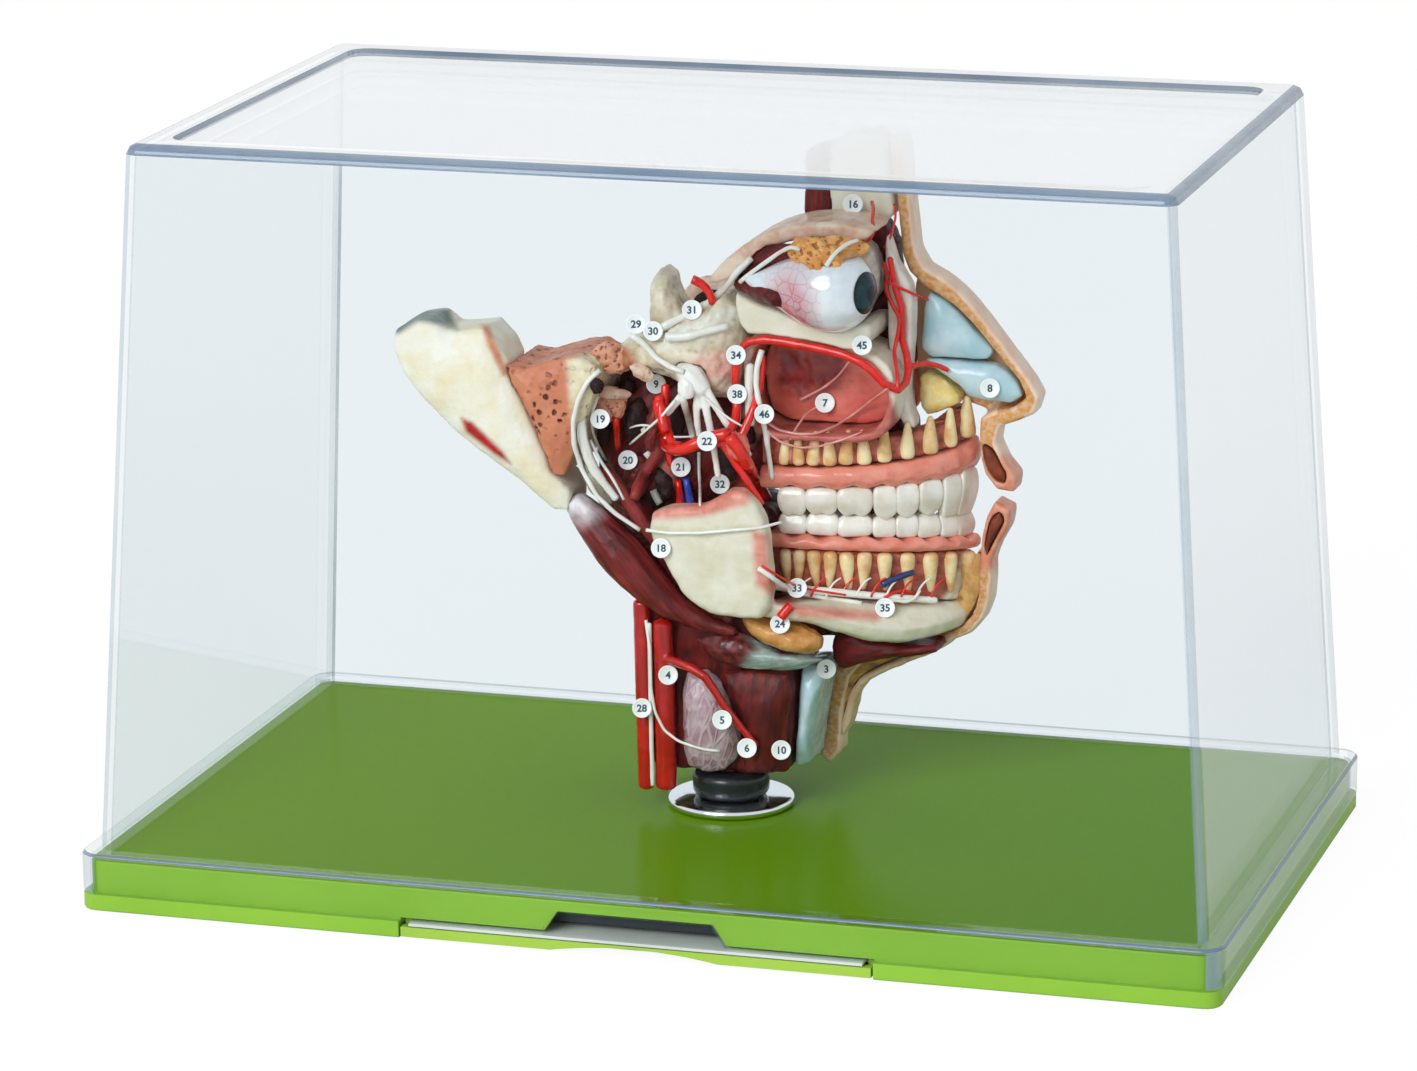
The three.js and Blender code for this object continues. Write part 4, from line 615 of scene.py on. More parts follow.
class Workbench:
    """The few hand operations that every piece is shaped with."""

    finishes: dict[str, bpy.types.Material] = {}

    @classmethod
    def dress(cls, piece: Piece, *finishes: Finish) -> None:
        """Gives the piece its materials, each made once."""
        piece.data.materials.clear()
        for finish in finishes:
            if finish.name not in cls.finishes:
                cls.finishes[finish.name] = finish.make()
            piece.data.materials.append(cls.finishes[finish.name])

    @staticmethod
    def announce(piece: Piece, slot: Slot, body: str = "head", node: str = "") -> None:
        """Args:
            piece: The piece, in its final shape.
            slot: Not used.
            body: The body that it moves with.
            node: The solid that it stands for, if it stands for one.
        """
        if node:
            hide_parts(node)
        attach(piece, body)

    @classmethod
    def settle(
        cls, piece: Piece, finish: Finish, body: str = "head", node: str = "", slot: Slot | None = None,
    ) -> Piece:
        """Gives the piece its finish, hides the solid that it stands for and attaches it to its body."""
        cls.dress(piece, finish)
        cls.announce(piece, slot or finish.slot, body, node)
        return piece

    @staticmethod
    def linked(name: str, data: bpy.types.ID | None) -> Piece:
        """Makes an object in the scene."""
        made = bpy.data.objects.new(name, data)
        bpy.context.scene.collection.objects.link(made)
        return made

    @staticmethod
    def clear() -> None:
        """Deselects all."""
        for other in bpy.context.view_layer.objects:
            other.select_set(False)

    @classmethod
    def hold(cls, piece: Piece) -> None:
        """Selects this piece alone."""
        cls.clear()
        bpy.context.view_layer.objects.active = piece
        piece.select_set(True)

    @classmethod
    def fix(cls, piece: Piece, place: Matrix | None = None) -> None:
        """Takes the piece's place, turn and size up in its mesh, after a move to the given place."""
        if place is not None:
            piece.matrix_world = place
        cls.hold(piece)
        bpy.ops.object.transform_apply(location=True, rotation=True, scale=True)

    @classmethod
    def started(cls, name: str) -> Piece:
        """Names the object that was just made and places it in its mesh."""
        piece = bpy.context.active_object
        piece.name = name
        piece.data.name = name
        cls.fix(piece)
        return piece

    @classmethod
    def add(cls, name: str, primitive: object, **settings: object) -> Piece:
        """Adds a primitive under that name.

        Args:
            name: The piece's name.
            primitive: The operator that adds it.
            settings: The operator's settings.

        Returns:
            The piece, placed in its mesh.
        """
        cls.clear()
        primitive(**settings)
        return cls.started(name)

    @classmethod
    def joined(cls, pieces: list[Piece]) -> Piece:
        """Joins the pieces into the first of them."""
        cls.hold(pieces[0])
        for other in pieces[1:]:
            other.select_set(True)
        bpy.ops.object.join()
        return pieces[0]

    @classmethod
    def modify(cls, piece: Piece, kind: str, **settings: object) -> None:
        """Adds a modifier, sets it and applies it."""
        cls.hold(piece)
        modifier = piece.modifiers.new(kind.lower(), kind)
        for key, value in settings.items():
            setattr(modifier, key, value)
        bpy.ops.object.modifier_apply(modifier=modifier.name)

    @classmethod
    def bevel(cls, piece: Piece, width: float, segments: int, angle: float) -> None:
        """Rounds the edges that turn by more than an angle in degrees, by a width in millimetres."""
        cls.modify(
            piece, "BEVEL", width=width * MM, segments=segments, limit_method="ANGLE",
            angle_limit=math.radians(angle),
        )

    @classmethod
    def edit(cls, piece: Piece, *steps: tuple) -> None:
        """Runs edit-mode operators on the whole mesh.

        Args:
            piece: The piece to edit.
            steps: Pairs of an operator and its settings.
        """
        cls.hold(piece)
        bpy.ops.object.mode_set(mode="EDIT")
        bpy.ops.mesh.select_all(action="SELECT")
        for operator, settings in steps:
            operator(**settings)
        bpy.ops.object.mode_set(mode="OBJECT")

    @classmethod
    def smooth(cls, piece: Piece, angle: float | None = None) -> None:
        """Shades the piece smooth, all over or below an angle in degrees."""
        cls.hold(piece)
        if angle is None:
            bpy.ops.object.shade_smooth()
        else:
            bpy.ops.object.shade_smooth_by_angle(angle=math.radians(angle))

    @classmethod
    def copy_of(cls, node: str, name: str | None = None) -> Piece:
        """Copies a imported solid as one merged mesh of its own."""
        piece = cls.linked(name or f"{node}_cast", bpy.data.objects[node].data.copy())
        cls.edit(piece, WELD)
        for attribute in ("sharp_edge", "custom_normal"):
            if attribute in piece.data.attributes:
                piece.data.attributes.remove(piece.data.attributes[attribute])
        return piece

    @classmethod
    def ruffle(
        cls, piece: Piece, kind: str, size: float, height: float,
        stretch: float = 1.0, lean: float = 0.0, middle: float = 0.5,
    ) -> None:
        """Moves the surface in and out by a procedural texture.

        Args:
            piece: The piece to move.
            kind: CLOUDS or VORONOI.
            size: Size of the texture's lumps in metres.
            height: Most that a point moves, in metres.
            stretch: How much longer the lumps are along their lean.
            lean: Degrees that the long way leans from upright about Y.
            middle: The texture value that doesn't move.
        """
        texture = bpy.data.textures.new(f"{piece.name}_{kind.lower()}", kind)
        texture.noise_scale = size
        if kind == "CLOUDS":
            texture.noise_depth = 2
        guide = cls.linked(f"{piece.name}_guide", None)
        guide.rotation_euler = (0, math.radians(lean), 0)
        guide.scale = (1, 1, stretch)
        bpy.context.view_layer.update()
        cls.modify(
            piece, "DISPLACE", texture=texture, texture_coords="OBJECT", texture_coords_object=guide,
            strength=height, mid_level=middle,
        )
        bpy.data.objects.remove(guide)
        bpy.data.textures.remove(texture)

    @staticmethod
    def points(piece: Piece, what: str = "co") -> np.ndarray:
        """Vertex places or normals as an array."""
        values = np.empty(len(piece.data.vertices) * 3, np.float32)
        if what == "co":
            piece.data.vertices.foreach_get("co", values)
        else:
            piece.data.vertex_normals.foreach_get("vector", values)
        return values.reshape(-1, 3).astype(float)

    @staticmethod
    def reshape(piece: Piece, places: np.ndarray) -> None:
        """Moves the vertices to these places."""
        piece.data.vertices.foreach_set("co", places.ravel())
        piece.data.update()

    @staticmethod
    def triangles(piece: Piece) -> np.ndarray:
        """The vertex numbers of the mesh's triangles."""
        piece.data.calc_loop_triangles()
        flat = np.empty(len(piece.data.loop_triangles) * 3, np.int32)
        piece.data.loop_triangles.foreach_get("vertices", flat)
        return flat.reshape(-1, 3)

    @staticmethod
    def mark(piece: Piece, name: str, values: np.ndarray) -> None:
        """Stores one value a vertex under that name."""
        layer = piece.data.attributes.new(name, "FLOAT", "POINT")
        layer.data.foreach_set("value", values.astype(np.float32))

    @classmethod
    def mark_recesses(cls, piece: Piece, rounds: int = 8, depth: float = 0.0006) -> None:
        """Marks how far each point lies below its smoothed surroundings, for the painted shade in recesses."""
        place, normal = cls.points(piece), cls.points(piece, "normal")
        pairs = np.empty(len(piece.data.edges) * 2, np.int32)
        piece.data.edges.foreach_get("vertices", pairs)
        first, second = pairs.reshape(-1, 2).T
        count = len(place)
        share = np.bincount(first, minlength=count) + np.bincount(second, minlength=count) + 1e-9
        eased = place.copy()
        for _ in range(rounds):
            sums = [
                np.bincount(first, eased[second, axis], count) + np.bincount(second, eased[first, axis], count)
                for axis in range(3)
            ]
            eased = np.stack(sums, axis=1) / share[:, None]
        hollow = ((eased - place) * normal).sum(axis=1) / depth
        cls.mark(piece, "recess", np.clip(hollow, -1, 1))


# The camera's sight of the model

@dataclass
class Sight:
    """The photograph's camera, and where its rays meet the castings."""

    place: Vector = Vector((0.4982, -1.6163, 0.5455))
    aim: Vector = Vector((-0.00693, 0.0, 0.0983))
    roll: float = -0.0122
    reach: float = 5942.5
    frame: tuple[int, int] = (1417, 1071)
    sensor: float = 36.0
    searched: range = range(0, 40, 4)

    def __post_init__(self) -> None:
        """Works out the camera's axes."""
        self.ahead = (self.aim - self.place).normalized()
        side = self.ahead.cross(Vector((0, 0, 1))).normalized()
        up = side.cross(self.ahead)
        turn, tilt = math.cos(self.roll), math.sin(self.roll)
        self.right = side * turn + up * tilt
        self.up = up * turn - side * tilt
        self.targets: BVHTree | None = None

    def camera(self) -> None:
        """Makes the camera and hands it to the scene."""
        data = bpy.data.cameras.new("camera")
        data.sensor_width = self.sensor
        data.lens = self.sensor * self.reach / self.frame[0]
        data.clip_start, data.clip_end = 0.05, 50.0
        camera = Workbench.linked("camera", data)
        turn = Matrix((self.right, self.up, -self.ahead)).transposed()
        camera.matrix_world = Matrix.Translation(self.place) @ turn.to_4x4()
        bpy.context.scene.camera = camera

    def watch(self, pieces: list[Piece]) -> None:
        """Gathers the pieces that the rays may meet."""
        corners, faces, offset = [], [], 0
        for piece in pieces:
            corners.append(Workbench.points(piece))
            faces.append(Workbench.triangles(piece) + offset)
            offset += len(corners[-1])
        self.targets = BVHTree.FromPolygons(
            np.concatenate(corners).tolist(), np.concatenate(faces).tolist(), all_triangles=True,
        )

    def ray(self, across: float, down: float) -> Vector:
        """Direction through a point of the 1417 by 1071 frame."""
        width, height = self.frame
        return (
            self.ahead + self.right * ((across - width / 2) / self.reach)
            - self.up * ((down - height / 2) / self.reach)
        ).normalized()

    def project(self, places: np.ndarray) -> np.ndarray:
        """Where places fall in the frame."""
        away = places - np.array(self.place)
        depth = away @ np.array(self.ahead)
        return np.stack(
            [
                self.frame[0] / 2 + self.reach * (away @ np.array(self.right)) / depth,
                self.frame[1] / 2 - self.reach * (away @ np.array(self.up)) / depth,
            ],
            axis=1,
        )

    def hit(self, across: float, down: float) -> Hit | None:
        """Where the ray through that point meets the castings: place, normal and distance."""
        found = self.targets.ray_cast(self.place, self.ray(across, down))
        return None if found[0] is None else (found[0], found[1], found[3])

    def ring(self, across: float, down: float, reach: float, count: int) -> list[Hit]:
        """What the rays round that point meet, on a circle of reach pixels."""
        turns = [index * 2 * math.pi / count for index in range(count)]
        hits = [self.hit(across + reach * math.cos(turn), down + reach * math.sin(turn)) for turn in turns]
        return [hit for hit in hits if hit]

    def touch(self, across: float, down: float) -> Hit:
        """The nearest hit to that point, where the ray itself may pass between castings."""
        for reach in self.searched:
            found = self.ring(across, down, reach, 8)
            if found:
                return found[0]
        raise ValueError(f"nothing near {across}, {down}")


@dataclass(frozen=True)
class Patch:
    """An area in another colour, outlined in the photograph's frame."""

    light: str
    mid: str
    outline: Route
    blur: float = 4.0

    def cover(self, piece: Piece, sight: Sight) -> np.ndarray:
        """How much of the patch lies on each vertex.

        Args:
            piece: The piece that is painted.
            sight: The camera of that frame.

        Returns:
            A share from 0 to 1 for each vertex.
        """
        seen = sight.project(Workbench.points(piece))
        corners = np.array(self.outline, float)
        inside = np.zeros(len(seen), bool)
        near = np.full(len(seen), 1e9)
        for start, end in zip(corners, np.roll(corners, -1, axis=0)):
            edge = end - start
            share = np.clip(((seen - start) @ edge) / (edge @ edge), 0, 1)
            near = np.minimum(near, np.linalg.norm(seen - start - share[:, None] * edge, axis=1))
            crosses = (start[1] > seen[:, 1]) != (end[1] > seen[:, 1])
            level = (seen[:, 1] - start[1]) / (edge[1] if edge[1] else 1e-9)
            inside ^= crosses & (seen[:, 0] < start[0] + edge[0] * level)
        depth = np.where(inside, near, -near) / self.blur
        share = np.clip(depth * 0.5 + 0.5, 0, 1)
        return share * share * (3 - 2 * share)


# Sizes of the cut skin in metres, how level a normal is on its outer edge, and what it wraps.
SKIN_THICKNESS = 0.0058
SKIN_REACH = 0.03
SKIN_CLEAR = 0.0006
SKIN_STEEP = 0.55
HEAD_MIDDLE = Vector((0.0, 0.01, 0.09))
# How long a muscle's fibres are for their width, and the texture value that a pored surface keeps.
FIBRE_STRETCH = 8
PORE_MIDDLE = 0.9


def mark_layers(piece: Piece) -> None:
    """Marks how deep each point of a cut skin lies under its outer side, as a share of its thickness.

    Args:
        piece: The cut skin.
    """
    place, normal = Workbench.points(piece), Workbench.points(piece, "normal")
    core = BVHTree.FromPolygons(place.tolist(), Workbench.triangles(piece).tolist(), all_triangles=True)
    outer = []
    for index in range(len(place)):
        flatwise = Vector((normal[index, 0], 0, normal[index, 2]))
        if flatwise.length < SKIN_STEEP:
            continue
        flatwise.normalize()
        start = Vector(place[index]) + flatwise * SKIN_CLEAR
        if flatwise.dot(start - HEAD_MIDDLE) > 0 and core.ray_cast(start, flatwise, SKIN_REACH)[0] is None:
            outer.append(start)
    tree = KDTree(len(outer))
    for index, start in enumerate(outer):
        tree.insert(start, index)
    tree.balance()
    depth = np.array([tree.find(point)[2] for point in place]) / SKIN_THICKNESS
    Workbench.mark(piece, "skin_depth", depth)


@dataclass(frozen=True)
class Cast:
    """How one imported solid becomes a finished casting."""

    node: str
    finish: Painted
    voxel: float = 0.8
    ease: int = 12
    lump: tuple[float, float] = (6.0, 0.6)
    fibre: Triple | None = None
    pores: tuple[float, float] | None = None
    patches: tuple[Patch, ...] = ()
    slot: Slot | None = None

    def build(self, sight: Sight) -> Piece:
        """Remeshes, eases and textures a copy of the solid.

        Args:
            sight: The camera whose frame the patches are given in.

        Returns:
            The finished piece, in place of its solid.
        """
        piece = Workbench.copy_of(self.node)
        Workbench.modify(piece, "REMESH", mode="VOXEL", voxel_size=self.voxel * MM, use_smooth_shade=True)
        Workbench.modify(piece, "SMOOTH", factor=0.5, iterations=self.ease)
        size, height = self.lump
        if height:
            Workbench.ruffle(piece, "CLOUDS", size * MM, height * MM)
        if self.fibre:
            size, height, lean = self.fibre
            Workbench.ruffle(piece, "CLOUDS", size * MM, height * MM, FIBRE_STRETCH, lean)
        if self.pores:
            size, height = self.pores
            Workbench.ruffle(piece, "VORONOI", size * MM, height * MM, middle=PORE_MIDDLE)
        Workbench.smooth(piece)
        Workbench.mark_recesses(piece)
        if isinstance(self.finish, Layered):
            mark_layers(piece)
        for index, patch in enumerate(self.patches):
            Workbench.mark(piece, f"patch_{index}", patch.cover(piece, sight))
        own = {"patches": tuple((patch.light, patch.mid) for patch in self.patches)}
        if self.fibre or self.patches:
            own["name"] = f"{self.finish.name}_{self.node}"
        if self.fibre:
            own["lean"] = -self.fibre[2]
        return Workbench.settle(piece, replace(self.finish, **own), node=self.node, slot=self.slot)


# Strands: vessels and nerves

# Spacing of the places that a strand is laid on, in the frame's pixels, and how often its depth is eased.
STEP_PIXELS = 7
EASE_ROUNDS = 3


@dataclass(frozen=True)
class Strand:
    """A vessel or nerve that lies on what the camera sees along its route."""

    name: str
    finish: Painted
    radius: float
    route: Route
    taper: float = 0.8
    sink: float = 0.3
    bridge: int = 2
    swell: float = 0.09
    swell_rate: float = 1.9
    slot: Slot | None = None

    def build(self, sight: Sight) -> Piece:
        """Lays the strand on the castings.

        Args:
            sight: The camera whose frame the route is given in.

        Returns:
            The tube as a mesh.
        """
        steps: list[tuple[float, float]] = []
        for (x0, y0), (x1, y1) in zip(self.route, self.route[1:]):
            parts = max(1, round(math.hypot(x1 - x0, y1 - y0) / STEP_PIXELS))
            steps += [(x0 + (x1 - x0) * i / parts, y0 + (y1 - y0) * i / parts) for i in range(parts)]
        steps.append(self.route[-1])
        hits = [sight.hit(*step) for step in steps]
        known = [hit[2] for hit in hits if hit] or [sight.touch(*steps[0])[2]]
        far = np.array([hit[2] if hit else np.median(known) for hit in hits])
        for _ in range(self.bridge):
            padded = np.pad(far, 1, mode="edge")
            far = np.minimum(far, np.minimum(padded[:-2], padded[2:]))
        for _ in range(EASE_ROUNDS):
            padded = np.pad(far, 1, mode="edge")
            far = (padded[:-2] + 2 * padded[1:-1] + padded[2:]) / 4
        lift = self.radius * MM * (1 - 2 * self.sink)
        path = [sight.place + sight.ray(*step) * (d - lift) for step, d in zip(steps, far)]
        return self.tube(path)

    def tube(self, path: list[Vector]) -> Piece:
        """Sweeps a round section along the path and closes its ends."""
        Workbench.clear()
        bpy.ops.curve.primitive_bezier_curve_add()
        curve = bpy.context.active_object
        curve.name = self.name
        curve.data.splines.clear()
        spline = curve.data.splines.new("NURBS")
        spline.points.add(len(path) - 1)
        last = max(1, len(path) - 1)
        for index, (point, place) in enumerate(zip(spline.points, path)):
            share = index / last
            swell = 1 + self.swell * math.sin(index * self.swell_rate)
            point.co = (*place, 1)
            point.radius = (1 + (self.taper - 1) * share) * swell
        spline.use_endpoint_u = True
        spline.order_u = 4
        curve.data.bevel_depth = self.radius * MM
        curve.data.bevel_resolution = 4
        curve.data.resolution_u = 3
        curve.data.use_fill_caps = True
        Workbench.hold(curve)
        bpy.ops.object.convert(target="MESH")
        piece = Workbench.started(self.name)
        Workbench.edit(piece, WELD, FACE_OUT)
        Workbench.smooth(piece)
        return Workbench.settle(piece, self.finish, slot=self.slot)


# The case and its stand

@dataclass
class CarryingCase:
    """Green base with its key-card drawer, under a clear lid."""

    width: float = 0.34
    tray_middle: float = 0.01
    lid_middle: float = 0.1
    top_face: float = 0.7
    level_face: float = 0.985
    upright_face: float = 0.2
    corner_face: float = 0.25
    edge_round: float = 0.45
    shade_plate_depth: float = 0.0085
    shade_plate_height: float = 0.0098
    shade_plate_size: Triple = (0.06, 0.0008, 0.0066)

    def rounded(self, node: str, radius: float, finish: Finish, body: str) -> Piece:
        """A copy of a flat-faced solid with its edges rounded.

        Args:
            node: The solid.
            radius: Edge radius in millimetres.
            finish: What it is made of.
            body: The body that it moves with.

        Returns:
            The finished piece.
        """
        piece = Workbench.copy_of(node)
        Workbench.edit(piece, FLATTEN)
        Workbench.bevel(piece, radius, 2, 35)
        Workbench.smooth(piece, 40)
        Workbench.modify(piece, "WEIGHTED_NORMAL", keep_sharp=True, weight=100)
        return Workbench.settle(piece, finish, body, node)

    def notch_shade(self) -> None:
        """A black plate of painted shade that closes the view into the base behind the finger notch, where its
        inside lies in shadow.
        """
        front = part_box("base_tray")[0].y
        piece = Workbench.add(
            "notch_baffle", bpy.ops.mesh.primitive_cube_add, size=1,
            location=(0, front + self.shade_plate_depth, self.shade_plate_height), scale=self.shade_plate_size,
        )
        Workbench.bevel(piece, 0.3, 2, 40)
        Workbench.settle(piece, NOTCH_SHADE, "base")

    def lid(self) -> None:
        """The clear lid, whose bends and corners carry painted dark lines as the shade of the light refracted
        there.
        """
        piece = Workbench.copy_of("dust_cover", "clear_lid")
        Workbench.edit(piece, FLATTEN)
        Workbench.dress(
            piece, Acrylic(), Acrylic("acrylic_bend", painted_edge_share=0.85),
            Acrylic("acrylic_corner", edge="8fa3b3", painted_edge_share=0.4), Acrylic("acrylic_top", tint="eef4f7", veil=1.0),
        )
        for face in piece.data.polygons:
            across, deep, up = (abs(part) for part in face.normal)
            if up >= self.level_face and face.center.z > self.lid_middle:
                face.material_index = 3
            elif self.upright_face < up < self.level_face:
                face.material_index = 1
            elif up < self.upright_face and min(across, deep) > self.corner_face:
                face.material_index = 2
        Workbench.smooth(piece, 50)
        Workbench.modify(piece, "WEIGHTED_NORMAL", keep_sharp=True, weight=100)
        Workbench.announce(piece, Slot.CLEAR, "cover", "dust_cover")

    def tray(self) -> None:
        """The base, with painted shade: its top darker than its sides and darkest at the right."""
        piece = self.rounded("base_tray", self.edge_round, MOSS, "base")
        piece.data.materials.append(MOSS_TOP_SHADED.make())
        for face in piece.data.polygons:
            if face.normal.z > self.top_face and face.center.z > self.tray_middle:
                face.material_index = 1
        # Painted shade that grows towards the right of the top.
        Workbench.mark(piece, "dusk", 0.5 + Workbench.points(piece)[:, 0] / self.width)

    def build(self) -> None:
        """Dresses the whole case."""
        self.tray()
        self.rounded("card_drawer", 0.3, DRAWER, "drawer")
        self.rounded("key_card", 0.15, CARD, "drawer")
        self.notch_shade()
        self.lid()
        log.info("case dressed")


@dataclass
class Stand:
    """Chromed foot that the head turns on."""

    def turned(self, node: str, finish: Finish, rounds: float) -> None:
        """A smooth lathe part at a faceted solid's place and size.

        Args:
            node: The solid.
            finish: What it is made of.
            rounds: Edge radius in millimetres.
        """
        low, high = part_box(node)
        piece = Workbench.add(
            f"{node}_turned", bpy.ops.mesh.primitive_cylinder_add, vertices=128, radius=(high.x - low.x) / 2,
            depth=high.z - low.z, location=(low + high) / 2,
        )
        Workbench.bevel(piece, rounds, 5, 50)
        Workbench.smooth(piece, 35)
        Workbench.settle(piece, finish, "base", node)

    def build(self) -> None:
        """Makes the disc and collar, and dresses the stud and nut."""
        self.turned("foot_disc", CHROME, 1.1)
        self.turned("foot_collar", BLACKED, 2.4)
        for node in ("stud", "stud_nut"):
            Workbench.dress(bpy.data.objects[node], CHROME)
        log.info("stand dressed")


# The head. Routes, outlines, lumps and tags are placed in the photograph's frame, in pixels.

